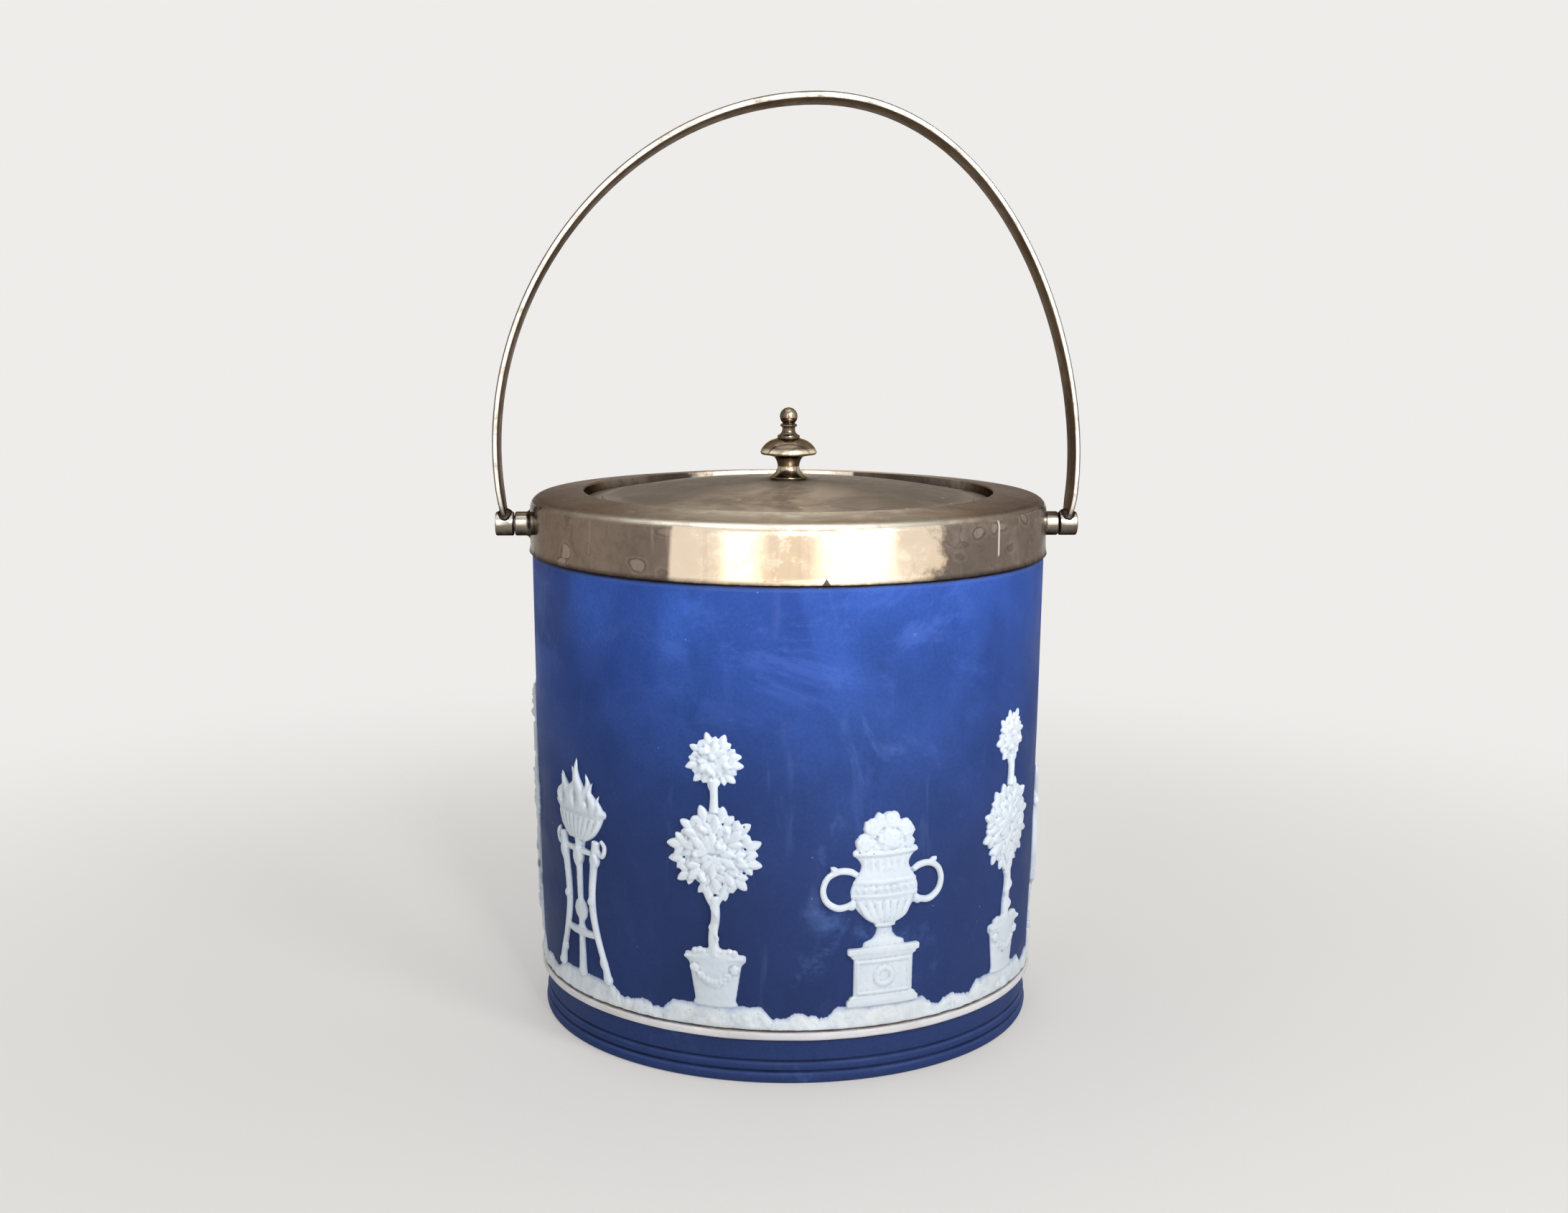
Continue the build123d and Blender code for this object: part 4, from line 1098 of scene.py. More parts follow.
def flower_urn(name):
    """A two-handled urn full of flowers on a square plinth."""
    parts = plinth(19, 15)
    foot = [(0, 15), (5.5, 15), (5.7, 15.6), (5.3, 16.3), (3.4, 17.1), (2.4, 18.4)]
    belly = [(2.1, 20.0), (2.9, 20.8), (5.2, 22.3), (7.7, 25.2), (8.9, 28.4), (8.9, 30.2), (7.9, 32.4)]
    belly = flowing(belly + [(6.7, 34.4), (6.5, 36.2), (7.6, 37.8)], 3)
    parts.append(half_turned(foot + belly + [(8.5, 38.4), (8.6, 39.3), (8.2, 39.8), (0, 39.8)], 0.155))
    for index in range(-3, 4):
        x = index * 2.0
        gadroon = [(x * 0.38, 21.3, 0.8), (x * 0.8, 23.4, 1.15 - 0.05 * abs(index))]
        gadroon.append((x * 1.1, 26.6, 1.2 - 0.09 * index * index))
        parts.append(rolled(gadroon, [0.35, 0.85, 0.62]))
        back = 0.06 * index * index
        parts.append(rolled([(x * 0.88, 34.2, 0.85 - back), (x * 0.94, 37.4, 0.95 - back)], 0.42))
    for height, reach in ((28.1, 8.8), (31.6, 8.3)):
        hoop = [(-reach, height, 0.1), (-reach * 0.6, height, 1.0), (0, height - 0.1, 1.3)]
        parts.append(rolled(hoop + [(reach * 0.6, height, 1.0), (reach, height, 0.1)], 0.42))
    for index in range(-4, 5):
        parts.append(copied(BALL, index * 1.8, 29.85, 1.28 - 0.055 * index * index, size=0.68))
    lip = [(-8.4, 38.9, 0.1), (-5, 38.8, 0.9), (0, 38.7, 1.2), (5, 38.8, 0.9), (8.4, 38.9, 0.1)]
    parts.append(rolled(lip, 0.68))
    parts.append(rolled([(-2.6, 20.7, 0.4), (0, 20.6, 0.75), (2.6, 20.7, 0.4)], 0.6))
    handle = [(8.0, 27.0), (9.6, 25.9), (12.2, 25.6), (14.8, 27.3), (15.7, 30.2), (14.6, 33.2)]
    handle += [(12.0, 34.7), (9.2, 34.6), (7.4, 33.6)]
    for side in (-1, 1):
        fat = [0.7, 0.85, 0.9, 0.85, 0.8, 0.8, 0.85, 0.9, 0.75]
        parts.append(rolled([(side * x, y) for x, y in handle], fat, 0.4))
        parts.append(copied(BALL, side * 8.7, 25.9, 0.6, size=1.05))
        parts.append(copied(LEAF, side * 12.0, 34.6, 0.7, -side * 55, 0.55, 6))
    stems = [(-62, 8.2, 0.95), (-38, 9.3, 1.0), (-14, 9.9, 1.05), (12, 9.8, 1.0), (38, 9.4, 1.05)]
    for way, reach, size in stems + [(62, 8.4, 0.95), (-82, 7.4, 0.8), (82, 7.4, 0.8)]:
        root = reach - 4.6 * size
        x, y = root * sin(radians(way)), 39.6 + root * cos(radians(way))
        parts.append(copied(LEAF, x, y, 0.1, -way, size, 3, 1.1))
    blooms = [(-5.4, 41.2, 2.3), (-3.3, 44.9, 2.3), (1.1, 46.4, 2.4), (4.9, 43.9, 2.3), (5.6, 40.7, 1.8)]
    blooms += [(0.3, 42.1, 2.8), (-2.6, 40.7, 1.5), (3.1, 40.6, 1.5)]
    for index, (x, y, size) in enumerate(blooms):
        parts += rose(x, y, 0.1 + 0.3 * (index > 4), size, 17 * index)
    return press(name, parts)


def lyre(name):
    """A lyre on a stepped base, its arms curling out to a crossbar."""
    shell = flowing([(0, 3.6), (3.4, 4.0), (6.6, 7.2), (7.5, 11.0), (6.9, 14.6), (4.6, 17.4), (0, 18.4)], 4)
    parts = [block(-8.5, 8.5, 0, 2.0, 1.35, 0.35), block(-7.2, 7.2, 1.8, 4.2, 1.15, 0.4)]
    parts.append(half_turned(shell, 0.17))
    rim = [(6.9 * cos(radians(way)), 11 + 7.0 * sin(radians(way))) for way in range(-80, 281, 24)]
    parts.append(rolled(rim, 0.5, 0.45))
    parts += rose(0, 11.2, 1.05, 2.6)
    arm = [(4.5, 12), (8.6, 15.2), (11.4, 20), (10.6, 26.5), (7.9, 32.6), (7.3, 36.5), (7.9, 39.6)]
    arm += [(10.2, 42.6), (11.0, 44.6), (9.9, 45.9), (8.7, 45.0)]
    for side in (-1, 1):
        fat = [1.0, 1.35, 1.45, 1.3, 1.15, 1.1, 1.1, 1.0, 0.9, 0.8, 0.7]
        parts.append(rolled([(side * x, y) for x, y in arm], fat, 0.35))
        parts.append(copied(LEAF, side * 8.3, 14.0, 0.75, -side * 42, 1.15, 5, 1.2))
        parts.append(copied(LEAF, side * 11.2, 19.6, 0.75, -side * 4, 1.1, 4, 1.0))
        parts.append(copied(LEAF, side * 7.4, 33.0, 0.75, side * 6, 0.9, 4, 1.0))
        parts.append(copied(BALL, side * 10.4, 37.0, 0.35, size=1.35))
    parts.append(rolled([(-9.8, 37), (9.8, 37)], 1.05, 0.5))
    for x in (-2.6, 0.0, 2.6):
        parts.append(rolled([(x * 0.8, 13.5), (x, 36.6)], 0.42, 0.75))
        parts.append(copied(BALL, x, 38.3, 0.6, size=0.62))
    parts.append(block(-3.8, 3.8, 14.0, 15.3, 1.6, 0.4))
    return press(name, parts)


def brazier(name):
    """A bowl of fire on three curved legs tied by a round shelf."""
    parts = []
    for side in (-1, 1):
        leg = [(10.3, 0.9), (9.4, 4.5), (7.1, 10.5), (5.4, 16.8), (5.2, 22.5), (6.1, 29.5), (7.3, 36.5)]
        parts.append(rolled([(side * x, y) for x, y in leg], [1.3, 0.95, 0.95, 1.05, 1.05, 1.15, 1.3], 0.35))
        parts.append(copied(BALL, side * 10.5, 0.9, 0.3, size=1.35))
        parts.append(copied(LEAF, side * 6.3, 29.0, 0.7, -side * 8, 1.1, 5, 1.1))
        parts.append(copied(LEAF, side * 9.6, 3.2, 0.6, side * 20, 0.8, 5, 1.1))
        parts.append(copied(BALL, side * 5.2, 20.4, 0.9, size=1.15))
        curl = [(side * 7.3, 34.6), (side * 9.4, 33.0), (side * 10.4, 35.4), (side * 9.0, 37.0)]
        parts.append(rolled(curl, [0.7, 0.65, 0.6, 0.5], 0.4))
    parts.append(rolled([(0, 0.8), (0.1, 12), (0, 24), (0, 36)], [1.35, 0.95, 1.0, 1.25], 0.2))
    parts.append(copied(BALL, 0, 0.8, 0.3, size=1.45))
    parts.append(copied(LEAF, 0, 28.5, 0.75, 0, 1.25, 4, 1.2))
    shelf = [(0, 10.4), (5.8, 10.5), (7.0, 11.0), (7.2, 11.6), (6.7, 12.2), (0, 12.4)]
    parts.append(half_turned(shelf, 0.2))
    bud = [(0, 12), (2.3, 12.1), (1.2, 13.2), (1.0, 14), (2.4, 15.6), (2.9, 17.4), (2.2, 19.2)]
    parts.append(half_turned(bud + [(0.8, 20.2), (0, 20.6)], 0.45))
    bowl = flowing([(0, 35.2), (3.2, 35.6), (6.4, 37.4), (8.8, 40.2), (10.2, 42.8)], 4)
    parts.append(half_turned(bowl + [(10.9, 43.0), (11.1, 44.0), (10.6, 44.8), (0, 44.9)], 0.14))
    for index in range(-4, 5):
        x = index * 2.2
        gadroon = [(x * 0.36, 35.9, 0.9), (x * 0.74, 38.8, 1.1 - 0.04 * index * index)]
        gadroon.append((x * 0.96, 41.9, 1.1 - 0.045 * index * index))
        parts.append(rolled(gadroon, [0.35, 0.8, 0.62]))
    brim = [(-10.7, 43.9, 0.1), (-6, 43.8, 1.0), (0, 43.7, 1.35), (6, 43.8, 1.0), (10.7, 43.9, 0.1)]
    parts.append(rolled(brim, 0.6))
    collar = [(0, 32.2), (6.4, 32.3), (6.9, 32.8), (6.4, 33.5), (2.2, 33.8), (2.6, 35.4), (0, 35.6)]
    parts.append(half_turned(collar, 0.19))
    parts.append(half_turned(flowing([(0, 43.6), (9.6, 44.0), (8.6, 46.4), (5.0, 48.6), (0, 49.6)], 3), 0.085))
    flames = [
        (-7.0, [(-1.2, 2.4), (0.6, 4.8), (-0.8, 7.2)], 1.35),
        (-4.3, [(1.0, 2.6), (-1.2, 5.6), (-2.4, 8.6)], 1.8),
        (-1.6, [(-1.2, 3.2), (1.0, 6.8), (-0.6, 10.6)], 1.8),
        (0.9, [(1.2, 3.6), (-1.0, 8.2), (-0.4, 13.2)], 1.9),
        (3.5, [(-1.2, 2.8), (1.2, 6.2), (0.3, 9.6)], 1.7),
        (5.8, [(0.8, 2.2), (-0.5, 4.8), (1.0, 7.8)], 1.4),
        (7.8, [(0.8, 1.4), (0.2, 3.0), (1.2, 4.8)], 1.0),
    ]
    for index, (x, tips, fat) in enumerate(flames):
        line = [(x, 43.6, 0.2)] + [(x + aside, 43.8 + up, 0.5 + 0.2 * (index % 2)) for aside, up in tips]
        parts.append(rolled(line, [fat, fat * 0.95, fat * 0.55, 0.12]))
    return press(name, parts)


def fruit_basket(name):
    """A wicker basket heaped with fruit on a reeded pedestal."""
    column = [(0, 0), (8.0, 0), (8.1, 1.5), (7.6, 1.9), (7.2, 2.3), (7.4, 3.2), (6.0, 3.8), (5.3, 4.6)]
    column += [(5.3, 23.2), (5.8, 24.2), (6.9, 25.0), (7.0, 26.9), (6.6, 27.3), (0, 27.3)]
    parts = [half_turned(column, 0.2)]
    for index in range(-4, 5):
        x, z = 5.0 * sin(radians(index * 20.5)), cos(radians(index * 20.5))
        parts.append(rolled([(x, 5.4, z), (x, 22.6, z)], 0.52))
    wicker = flowing([(5.4, 27.4), (6.0, 29.5), (7.2, 32.4), (9.2, 36.0)], 4)
    parts.append(half_turned([(0, 27.2), (5.0, 27.2)] + wicker + [(0, 36.2)], 0.16))
    for row in range(7):
        height = 28.2 + row * 1.18
        reach = 5.5 + (height - 27.4) ** 1.5 * 0.145
        for index in range(-4, 5):
            x = (index + 0.5 * (row % 2)) * reach / 4.4
            if abs(x) < reach * 0.97:
                out = 1.3 * sqrt(max(1 - (x / reach) ** 2, 0.0))
                withy = [
                    (x - 0.75, height, out * 0.82),
                    (x, height, out + 0.15),
                    (x + 0.75, height, out * 0.82),
                ]
                parts.append(rolled(withy, [0.3, 0.55, 0.3]))
    for height, reach in ((27.6, 5.7), (36.2, 9.5)):
        twists = int(reach * 2.2)
        for index in range(twists):
            x = -reach + index * 2 * reach / (twists - 1)
            depth = 1.2 * sqrt(max(1 - (x / (reach + 0.3)) ** 2, 0.0))
            parts.append(rolled([(x - 0.6, height - 0.5, depth * 0.9), (x + 0.6, height + 0.5, depth)], 0.5))
    for way in (-75, -52, -30, -8, 14, 36, 58, 80):
        x, y = 5.0 * sin(radians(way)), 37.4 + 4.4 * cos(radians(way))
        parts.append(copied(LEAF, x, y, 0.1, -way, 0.95, 3, 1.15))
    fruit = [(-6.0, 38.2, 2.3), (-2.6, 40.4, 2.7), (2.2, 41.2, 2.9), (6.1, 38.6, 2.4)]
    for x, y, size in fruit + [(0.3, 37.9, 2.3), (-4.3, 37.1, 1.6), (3.8, 37.2, 1.9)]:
        parts.append(copied(BALL, x, y, 0.25, size=size))
        parts[-1].data.transform(Matrix.Diagonal((1, 1, 0.55, 1)))
    grapes = [(-8.2, 36.2), (-7.6, 34.9), (-8.6, 34.6), (-8.0, 33.5), (-7.9, 37.2), (-9.0, 35.9)]
    for x, y in grapes + [(-8.3, 32.4)]:
        parts.append(copied(BALL, x, y, 0.7, size=0.78))
    parts.append(copied(LEAF, 0.2, 42.6, 0.9, -24, 0.9, 8, 1.2))
    return press(name, parts)


MIDDLE_RADIUS = 67  # of the wall where the sprigs are, in millimetres


def set_on_wall(mould, name, angle, node):
    """Wraps a copy of a pressed sprig on to the tapering wall."""
    piece = copied(mould)
    piece.name = piece.data.name = name
    start = radians(angle)
    for vertex in piece.data.vertices:
        x, y, z = vertex.co
        height = SPRIG_FOOT + y
        radius = (wall_radius(height) + z) * MM
        way = start + x / MIDDLE_RADIUS
        vertex.co = (radius * cos(way), radius * sin(way), height * MM)
    finished(smooth(piece, 80), "jar", "white_relief", WHITE, node)


def lay_sprigs():
    """Presses the five kinds of sprig, the tree twice, and sets them round the wall in their order."""
    moulds = {
        "tree": topiary("tree_mould"),
        "second_tree": topiary("second_tree_mould"),
        "urn": flower_urn("urn_mould"),
        "lyre": lyre("lyre_mould"),
        "tripod": brazier("tripod_mould"),
        "basket": fruit_basket("basket_mould"),
    }
    order = [
        ("urn", "relief_urn_1"),
        ("tree", "relief_tree_1"),
        ("lyre", "relief_lyre"),
        ("second_tree", "relief_tree_2"),
        ("urn", "relief_urn_2"),
        ("tree", "relief_tree_3"),
        ("basket", "relief_basket"),
        ("second_tree", "relief_tree_4"),
        ("tripod", "relief_tripod"),
        ("second_tree", "relief_tree_5"),
    ]
    for angle, (kind, node) in zip(SPRIG_ANGLES, order):
        set_on_wall(moulds[kind], node.replace("relief", "sprig"), angle, node)
    take_up(LEAF)
    for mould in [LEAF, PETAL, TWIG, BALL, *moulds.values()]:
        mould.select_set(True)
    bpy.ops.object.delete()


lay_sprigs()


# ---------------------------------------------------------------- collar
SHEET = 0.9  # thickness of the collar's and the lid's metal, in millimetres


def sheet_section(path, thickness):
    """The closed section of a sheet whose outer face follows a path, with its metal on the path's left."""
    inner = []
    for index, here in enumerate(path):
        before, after = path[max(index - 1, 0)], path[min(index + 1, len(path) - 1)]
        run = (Vector(after) - Vector(before)).normalized()
        inner.append((here[0] - run.y * thickness, here[1] + run.x * thickness))
    return list(path) + inner[::-1]


def facing_front(x, y):
    """One at the collar's front, little at its sides and back."""
    return min(max(1.15 - abs(atan2(x + 4, -y)) / 0.75, 0.12), 1.0)


def collar_highlight(x, y, z):
    """Painted highlights, with some wear, on the collar's inner lip and its rounded shoulder, strongest at the
    front.
    """
    if z > 139.0:
        return facing_front(x, y) * (0.75 - abs(hypot(x, y) - 54.75) / 0.8)
    if hypot(x, y) > 66.0:
        return facing_front(x, y) * (1.3 - abs(z - 137.35) / 0.5)
    return 0.0


def collar_painted_shade(x, y, z):
    """Painted shade along the skirt's lower edge and in the corner where the lid lies."""
    if z < 124.2:
        return 1.0
    if hypot(x, y) < 54.6 and z < 137.2:
        return 1.0 - (z - 135.9) / 0.8
    return 0.0


def spin_collar():
    """The plated collar: skirt, rounded shoulder, flange, bright throat and the lid's ledge."""
    path = [(68.7, 123.85), (68.4, 125.4), (68.4, 138.0), (54.35, 139.6)]
    path += [(53.9, 136.1), (51.3, 136.1), (51.3, 133.5)]
    path = eased(path, [3.0, 3.4, 0.45, 0.25, 0.7], 9)
    piece = turned("plated_collar", sheet_section(path, SHEET), 256, ring=True)
    for finish in (SKIRT_PLATE, FLANGE_PLATE, THROAT_PLATE):
        piece.data.materials.append(finish)
    for face in piece.data.polygons:
        radius, height = hypot(face.center.x, face.center.y) / MM, face.center.z / MM
        in_throat = radius < 55.05 and height < 139.1
        on_flange = radius < 67.6 and height > 136.65
        face.material_index = 2 if in_throat else int(on_flange)
    note(piece, "wear_and_highlight", collar_highlight)
    note(piece, "painted_shade", collar_painted_shade)
    finished(smooth(piece, 40), "jar", "tarnished_plate", None, "collar")


spin_collar()


# ---------------------------------------------------------------- lid and knob
LID_TOP = 142.05


def lid_highlight(x, y, z):
    """Wear and a painted highlight along the step round the dome."""
    return (1.0 - abs(hypot(x, y) - 49.4) / 0.9) * 0.6 if z > 137.1 else 0.0


def lid_painted_shade(x, y, z):
    """Painted shade at the border's edge and round the knob's foot."""
    radius = hypot(x, y)
    if z > 136.0 and radius > 50:
        return (radius - 52.6) / 1.2
    return 1.0 - abs(radius - 5.0) if z > 141.5 else 0.0


def spin_lid():
    """The domed lid: thin edge, flat border, a small step and a low dome."""
    dome = [(radius, LID_TOP - 4.3 * ((radius - 5.6) / 43.6) ** 2) for radius in (5.6, *range(9, 46, 4), 49.2)]
    under = [(radius - 0.35, height - SHEET) for radius, height in reversed(dome[1:-1])]
    border = [(49.6, 137.3), (53.4, 137.22), (53.7, 136.9), (53.7, 136.3), (53.55, 136.15)]
    inner = [(48.8, 136.15), (48.3, 136.85)] + under + [(5.6, 141.15), (1.65, 141.15)]
    piece = turned("domed_lid", [(1.65, LID_TOP)] + dome + border + inner, 224, ring=True)
    note(piece, "wear_and_highlight", lid_highlight)
    note(piece, "painted_shade", lid_painted_shade)
    finished(smooth(piece, 24), "lid", "tarnished_plate", LID_PLATE, "lid_plate")


def knob_highlight(x, y, z):
    """Painted highlights on the cap's rim, on the ball's front and on the neck, strongest towards the front.
    """
    if z >= LID_TOP + 10:
        return 0.6 * max(1.0 - hypot(x - 0.6, y + 1.9, z - LID_TOP - 17.2) / 1.9, 0.0)
    painted_light = min(max((1.0 - hypot(x - 1.5, y + 6.5) / 11.5) * 2.0, 0.0), 1.0)
    return max((1.25 - abs(z - LID_TOP - 7.55) / 0.75) * painted_light, 0.42 - abs(z - LID_TOP - 3.2) / 6)


def knob_painted_shade(x, y, z):
    """Painted shade in the knob's four turned hollows."""
    hollows = ((0.2, 0.8, 0.5), (6.45, 0.8, 0.35), (11.1, 0.8, 0.4), (14.9, 0.7, 0.3))
    return max(most - abs(z - LID_TOP - height) / reach for height, most, reach in hollows)


def turn_knob():
    """The turned knob, from its shank to its ball."""
    shank = [(0.0, -4.5), (1.3, -4.5), (1.5, -4.3)]
    foot = [(1.5, 0.0), (4.5, 0.0), (4.6, 0.1), (4.6, 0.4), (5.05, 0.42), (5.15, 0.55), (5.1, 0.72)]
    neck = flowing([(4.3, 1.1), (3.6, 1.8), (3.0, 2.8), (2.9, 3.8), (3.25, 5.1), (4.0, 6.0), (5.4, 6.4)], 5)
    cap = flowing([(7.2, 6.7), (7.5, 7.15), (7.35, 7.7), (6.9, 8.5), (6.1, 9.4), (4.8, 10.3), (3.2, 10.85)], 5)
    stem = flowing([(2.9, 11.7), (2.3, 12.0), (1.85, 12.6), (1.7, 13.3), (1.75, 13.9)], 4)
    bead = [(2.05, 14.0), (2.25, 14.2), (2.25, 14.4), (2.05, 14.65), (1.62, 14.85)]
    ball = [(2.36 * cos(radians(turn)), 16.7 + 2.36 * sin(radians(turn))) for turn in range(-48, 90, 9)]
    profile = shank + foot + neck + cap + [(2.95, 10.95), (2.95, 11.6)] + stem + bead + ball + [(0.0, 19.06)]
    piece = turned("turned_knob", [(radius, LID_TOP + height) for radius, height in profile], 96)
    note(piece, "wear_and_highlight", knob_highlight)
    note(piece, "painted_shade", knob_painted_shade)
    finished(smooth(piece, 38), "lid", "fittings", KNOB_PLATE, "finial")


spin_lid()
turn_knob()


# ---------------------------------------------------------------- swing handle and its pivots
PIVOT_HEIGHT = 130.2


def turned_across(name, profile, side):
    """Spins a profile of places along the pivot and radii, in millimetres, about the pivot's axis."""
    points = [(side * along * MM, 0, (PIVOT_HEIGHT + radius) * MM) for along, radius in profile]
    edges = [(index, index + 1) for index in range(len(points) - 1)]
    piece = from_points(name, points, edges)
    edit(piece)
    bpy.ops.mesh.spin(steps=72, angle=2 * pi, center=(0, 0, PIVOT_HEIGHT * MM), axis=(1, 0, 0))
    done()
    return heal(piece)


def boss_painted_shade(x, y, z):
    """Painted shade at the boss's foot and end, underneath it and along its top."""
    return max((69.6 - abs(x)) / 0.8, (abs(x) - 72.1) / 0.4, (130.0 - z) * 0.45, (z - 132.2) * 0.8)


def knuckle_painted_shade(x, y, z):
    """Painted shade at the knuckle's inner end, underneath it and round the strap's foot."""
    return max((73.3 - abs(x)) / 0.4, (129.8 - z) * 0.42, (z - 132.6) * 0.9)


def turn_pivots(side, word):
    """One side's boss on the collar, the knuckle that swings on it, and the pin through both."""
    boss = [(67.2, 0), (67.2, 4.3), (68.35, 4.3), (69.2, 3.2), (72.5, 3.2), (72.5, 0)]
    piece = turned_across("boss_turned_" + word, eased(boss, [0, 0.3, 0.9, 0.4, 0], 5), side)
    # A painted highlight band along the boss.
    note(piece, "wear_and_highlight", lambda x, y, z: 0.9 - abs(z - 131.3) / 1.2)
    note(piece, "painted_shade", boss_painted_shade)
    finished(smooth(piece, 40), "jar", "fittings", PIVOT_PLATE, "boss_" + word)
    knuckle = [(72.85, 1.36), (72.85, 3.2), (77.65, 3.2), (77.65, 2.45), (76.5, 2.45), (76.5, 1.36)]
    knuckle.append(knuckle[0])
    piece = turned_across("knuckle_turned_" + word, eased(knuckle, [0.35, 0.45, 0.12, 0.05, 0], 4), side)
    # A painted highlight band along the knuckle.
    note(piece, "wear_and_highlight", lambda x, y, z: 1.05 - abs(z - 131.4) / 1.3)
    note(piece, "painted_shade", knuckle_painted_shade)
    finished(smooth(piece, 40), "handle", "fittings", PIVOT_PLATE, "knuckle_" + word)
    pin = [(69.6, 0), (69.6, 1.3), (76.6, 1.3), (76.6, 2.1), (77.42, 2.1), (77.55, 0)]
    piece = turned_across("pin_turned_" + word, eased(pin, [0.1, 0, 0, 0.5], 4), side)
    finished(smooth(piece, 40), "jar", "fittings", PIVOT_PLATE, "pivot_pin_" + word)


SOLDER_PLACE = 0.07515, 0.1328  # its distance from the jar's axis and its height, in metres
SOLDER_SIZE = 2.15 * MM, 3.5 * MM, 1.35 * MM
SOLDER_BITE = 2.6  # nearest that it comes to the pivot's axis in millimetres, clear of the pin and its head


def run_solder(side, word):
    """The dark solder that was run round the strap's foot on its knuckle."""
    across, height = SOLDER_PLACE
    bpy.ops.object.select_all(action="DESELECT")
    spot = side * across, 0, height
    bpy.ops.mesh.primitive_uv_sphere_add(segments=40, ring_count=20, radius=1, location=spot)
    piece = bpy.context.active_object
    piece.name = piece.data.name = "solder_" + word
    piece.scale = SOLDER_SIZE
    settle(piece)
    for vertex in piece.data.vertices:
        vertex.co.z += 0.22 * MM * noise.noise(vertex.co * 420)
        drop = max(abs(vertex.co.y) - 1.2 * MM, 0)
        vertex.co.z -= drop * drop / 0.0050
        above = vertex.co.z - PIVOT_HEIGHT * MM
        push = max(SOLDER_BITE * MM / hypot(vertex.co.y, above), 1.0)
        vertex.co.y *= push
        vertex.co.z = PIVOT_HEIGHT * MM + above * push
    finished(smooth(piece, 60), "handle", "fittings", SOLDER)


for pivot_side, pivot_word in ((-1, "left"), (1, "right")):
    turn_pivots(pivot_side, pivot_word)
    run_solder(pivot_side, pivot_word)

STRAP_WIDTH, STRAP_LEAN = 11.0, radians(4)
STRAP_SPLAY = radians(12)  # from upright, how far the strap's feet open outwards

# How far the crown lies right of the middle, and how far the curve is drawn out level from it.
CROWN_ASIDE, CROWN_REACH = 8.0, 53.0


def strap_run(reach_left, reach_right, root, crown):
    """A smooth line from the left root over the crown to the right root, as across and up from the pivot."""
    line = []
    for side, reach in ((-1, reach_left), (1, reach_right)):
        start = Vector((side * root, 1.9))
        rise = start + reach * Vector((side * sin(STRAP_SPLAY), cos(STRAP_SPLAY)))
        top = Vector((CROWN_ASIDE, crown))
        before = Vector((CROWN_ASIDE + side * CROWN_REACH, crown))
        half = []
        for step in range(49):
            t = step / 48
            low, high = start * (1 - t) ** 3 + rise * 3 * t * (1 - t) ** 2, before * 3 * t * t * (1 - t)
            half.append(low + high + top * t**3)
        line += half if side < 0 else half[-2::-1]
    return line


def strap_corners(half, thick):
    """The strap's section with rounded corners: across, outward, and whether the point is on the edge."""
    ease = min(0.52, thick * 0.6)
    corners = []
    for across_side, out_side in ((-1, 1), (1, 1), (1, -1), (-1, -1)):
        for step in range(4):
            turn = step / 3 * pi / 2
            across, outward = sin(turn), cos(turn)
            if across_side != out_side:
                across, outward = outward, across
            spot = across_side * (half - ease + ease * across), out_side * (thick - ease + ease * outward)
            corners.append((*spot, across > 0.99))
    return corners


def bend_strap():
    """The flat strap: its edges eased, its ends narrowed to rounded tongues on the knuckles."""
    outer = strap_run(56.5, 38.0, 76.0, 112.57)
    inner = strap_run(54.75, 36.25, 74.5, 110.57)
    points, edge_highlight = [], []
    rows = len(outer)
    for index, (out, inn) in enumerate(zip(outer, inner)):
        run = min(index, rows - 1 - index) / 2.2
        half = STRAP_WIDTH / 2 * min(1.0, 0.55 + 0.45 * sin(min(run, 1.0) * pi / 2))
        middle, reach = (out + inn) / 2, (out - inn) / 2
        for across, outward, on_edge in strap_corners(half, reach.length):
            spot = middle + reach.normalized() * outward
            back = spot.y * sin(STRAP_LEAN) + across * cos(STRAP_LEAN)
            up = PIVOT_HEIGHT + spot.y * cos(STRAP_LEAN) - across * sin(STRAP_LEAN)
            points.append((spot.x * MM, back * MM, up * MM))
            edge_highlight.append(float(on_edge))
    loop = 16
    faces = []
    for here in range(0, (rows - 1) * loop, loop):
        for corner in range(loop):
            after = (corner + 1) % loop
            faces.append((here + corner, here + after, here + loop + after, here + loop + corner))
    faces.append(tuple(range(loop)))
    faces.append(tuple(range((rows - 1) * loop, rows * loop))[::-1])
    piece = from_points("bent_strap", points, (), faces)
    # The strap's edges carry a painted highlight, with some wear.
    store(piece, "wear_and_highlight", edge_highlight)
    # Painted shade towards the strap's feet.
    note(piece, "painted_shade", lambda x, y, z: (134.4 - z) / 1.6)
    edit(piece)
    bpy.ops.mesh.normals_make_consistent(inside=False)
    done()
    finished(smooth(piece, 40), "handle", "strap_plate", STRAP_PLATE, "handle_strap")


bend_strap()

for node, finish in (
    ("plaster_bed", PLASTER),
    ("lid_skirt", LID_PLATE),
    ("finial_washer", PIVOT_PLATE),
    ("finial_nut", PIVOT_PLATE),
):
    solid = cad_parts[node]
    solid.data.materials.clear()
    solid.data.materials.append(finish)


# ---------------------------------------------------------------- stage and light
BACKDROP, BACKDROP_STRENGTH = (0.90, 0.89, 0.87, 1), 0.95


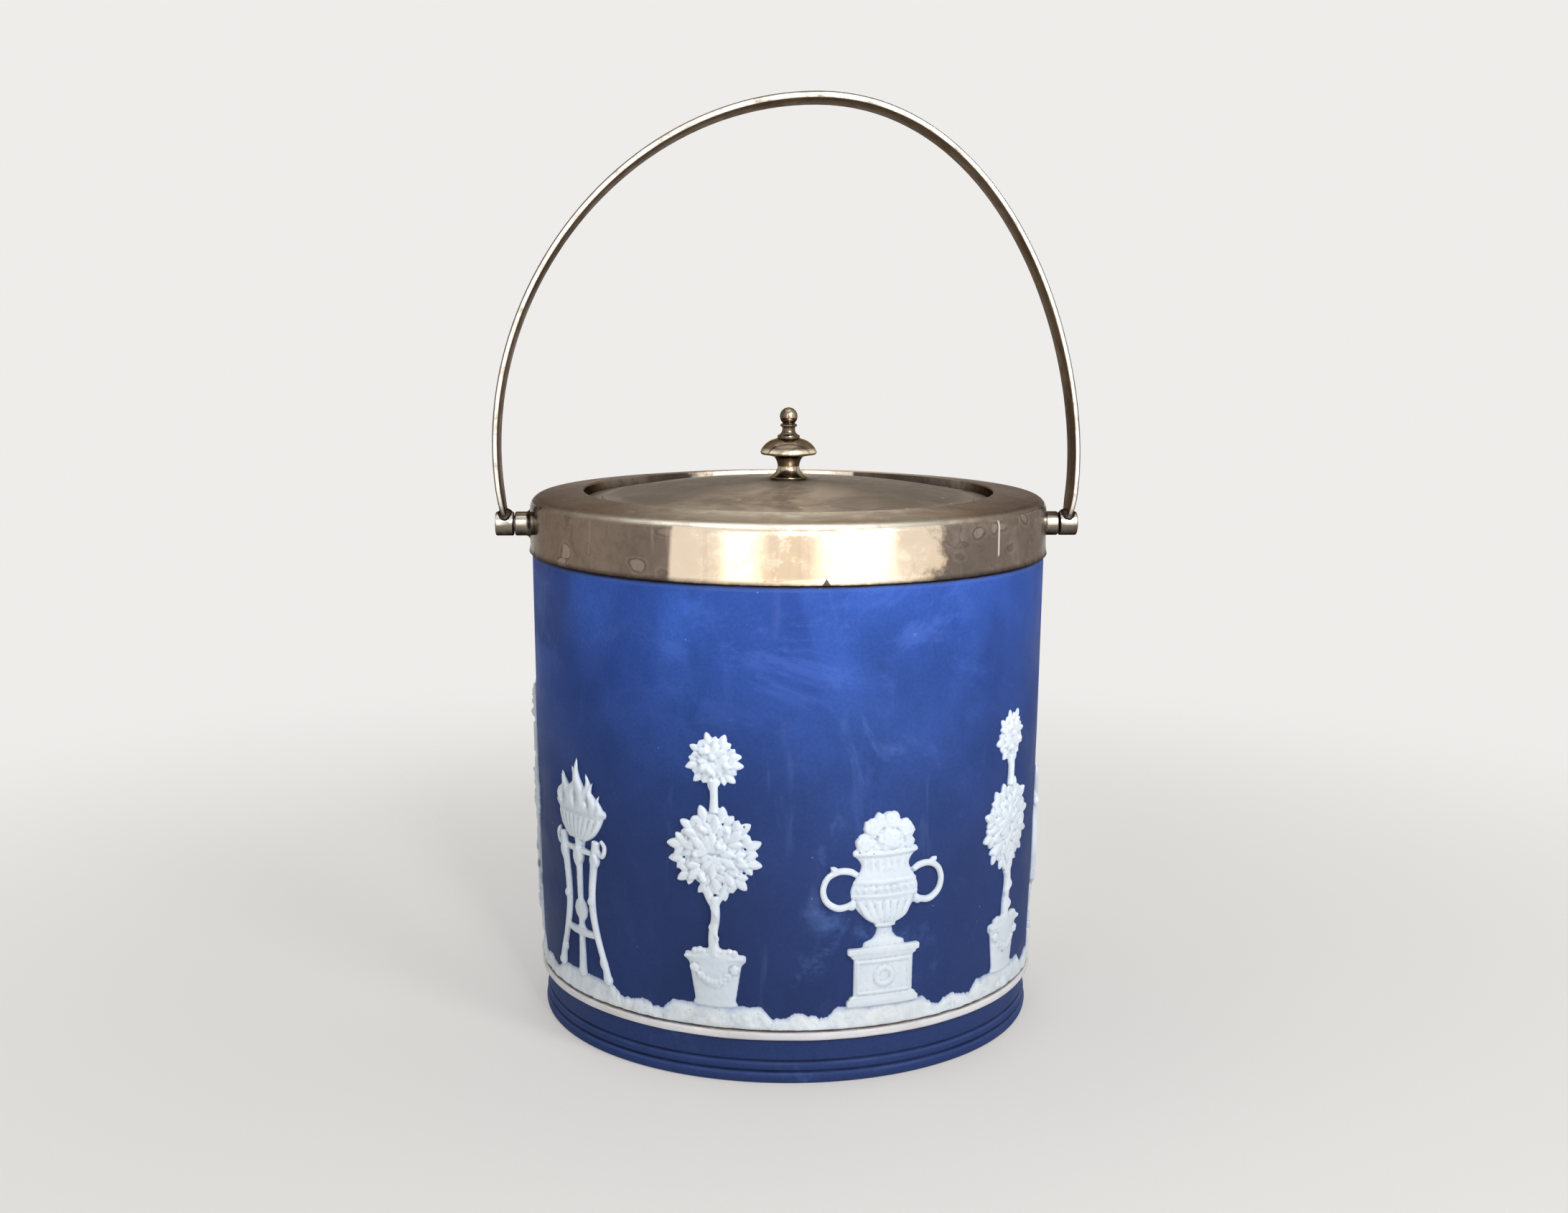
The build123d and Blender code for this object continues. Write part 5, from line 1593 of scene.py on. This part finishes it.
def lay_floor():
    """The pale floor, which fades into the backdrop far from the jar, for the eye and in the gloss only."""
    bpy.ops.object.select_all(action="DESELECT")
    bpy.ops.mesh.primitive_circle_add(vertices=96, radius=4.0, fill_type="NGON", location=(0, 0, 0))
    floor = bpy.context.active_object
    floor.name = "pale_floor"
    mix = Recipe("pale_floor")
    colour = mix.blend(mix.grain(6, 3), (0.80, 0.79, 0.77), (0.83, 0.82, 0.80))
    mix.put(mix.shader.inputs["Base Color"], colour)
    mix.shader.inputs["Roughness"].default_value = 0.7
    x, y, _ = mix.parts()
    away = mix.sums("SQRT", mix.plus(mix.sums("POWER", x, 2.0), mix.sums("POWER", y, 2.0)))
    ray = mix.nodes.new("ShaderNodeLightPath")
    seen_or_glossed = mix.most(ray.outputs["Is Camera Ray"], ray.outputs["Is Glossy Ray"])
    backdrop = mix.nodes.new("ShaderNodeEmission")
    backdrop.inputs["Color"].default_value = BACKDROP
    backdrop.inputs["Strength"].default_value = BACKDROP_STRENGTH
    shown = mix.nodes.new("ShaderNodeMixShader")
    mix.put(shown.inputs["Fac"], mix.times(mix.between(away, 0.09, 0.46, 0.35, 1.0), seen_or_glossed))
    mix.put(shown.inputs[1], mix.shader.outputs[0])
    mix.put(shown.inputs[2], backdrop.outputs[0])
    mix.put(mix.nodes["Material Output"].inputs["Surface"], shown.outputs[0])
    floor.data.materials.append(mix.finish)


def light_studio():
    """A soft warm light from all round, which the eye and the plate's gloss see as the pale backdrop."""
    world = bpy.data.worlds.new("studio")
    bpy.context.scene.world = world
    world.use_nodes = True
    nodes, links = world.node_tree.nodes, world.node_tree.links
    nodes.clear()
    ray = nodes.new("ShaderNodeLightPath")
    either = nodes.new("ShaderNodeMath")
    either.operation = "MAXIMUM"
    links.new(ray.outputs["Is Camera Ray"], either.inputs[0])
    links.new(ray.outputs["Is Glossy Ray"], either.inputs[1])
    pick = nodes.new("ShaderNodeMixShader")
    links.new(either.outputs[0], pick.inputs["Fac"])
    for way, (colour, strength) in enumerate([((1.0, 0.96, 0.90, 1), 0.29), (BACKDROP, BACKDROP_STRENGTH)]):
        light = nodes.new("ShaderNodeBackground")
        light.inputs["Color"].default_value = colour
        light.inputs["Strength"].default_value = strength
        links.new(light.outputs[0], pick.inputs[1 + way])
    links.new(pick.outputs[0], nodes.new("ShaderNodeOutputWorld").inputs["Surface"])


def hang_lamp(name, shape, size, watts, colour, spot):
    """A soft light at a spot, which the camera doesn't see."""
    lamp = bpy.data.lights.new(name, "AREA")
    lamp.shape = shape
    lamp.size = size
    lamp.energy = watts
    lamp.color = colour
    stand = bpy.data.objects.new(name, lamp)
    bpy.context.scene.collection.objects.link(stand)
    stand.location = spot
    stand.visible_camera = False
    return stand


def softbox(name, azimuth, distance, width, height, watts, colour):
    """An upright soft light on the floor that faces the jar's axis.

    Azimuth 0 is the front, positive to the right.
    """
    way = radians(azimuth)
    spot = distance * sin(way), -distance * cos(way), height / 2
    stand = hang_lamp(name, "RECTANGLE", width, watts, colour, spot)
    stand.data.size_y = height
    stand.rotation_euler = (pi / 2, 0, way)


def lamp_above(name, spot, target, size, watts, colour, spread=180):
    """A round soft light that looks down at a point."""
    stand = hang_lamp(name, "DISK", size, watts, colour, spot)
    stand.data.spread = radians(spread)
    stand.rotation_euler = (Vector(target) - Vector(spot)).to_track_quat("-Z", "Y").to_euler()


lay_floor()
light_studio()
softbox("strip_right", 25, 0.66, 0.36, 0.62, 0.95, (1.0, 0.985, 0.96))
softbox("strip_left", -22, 0.64, 0.13, 0.62, 0.5, (1.0, 0.97, 0.92))
lamp_above("high_right", (0.28, -0.38, 0.50), (0.0, 0.0, 0.08), 0.16, 1.05, (1.0, 0.985, 0.965))
lamp_above("high_front", (0.10, -0.42, 0.36), (0.014, -0.05, 0.145), 0.14, 0.066, (1.0, 0.98, 0.96), 24)
lamp_above("overhead", (-0.1, 0.1, 1.3), (0.0, 0.0, 0.1), 1.2, 5.0, (0.97, 0.98, 1.0))

bpy.context.scene.view_settings.view_transform = "Standard"
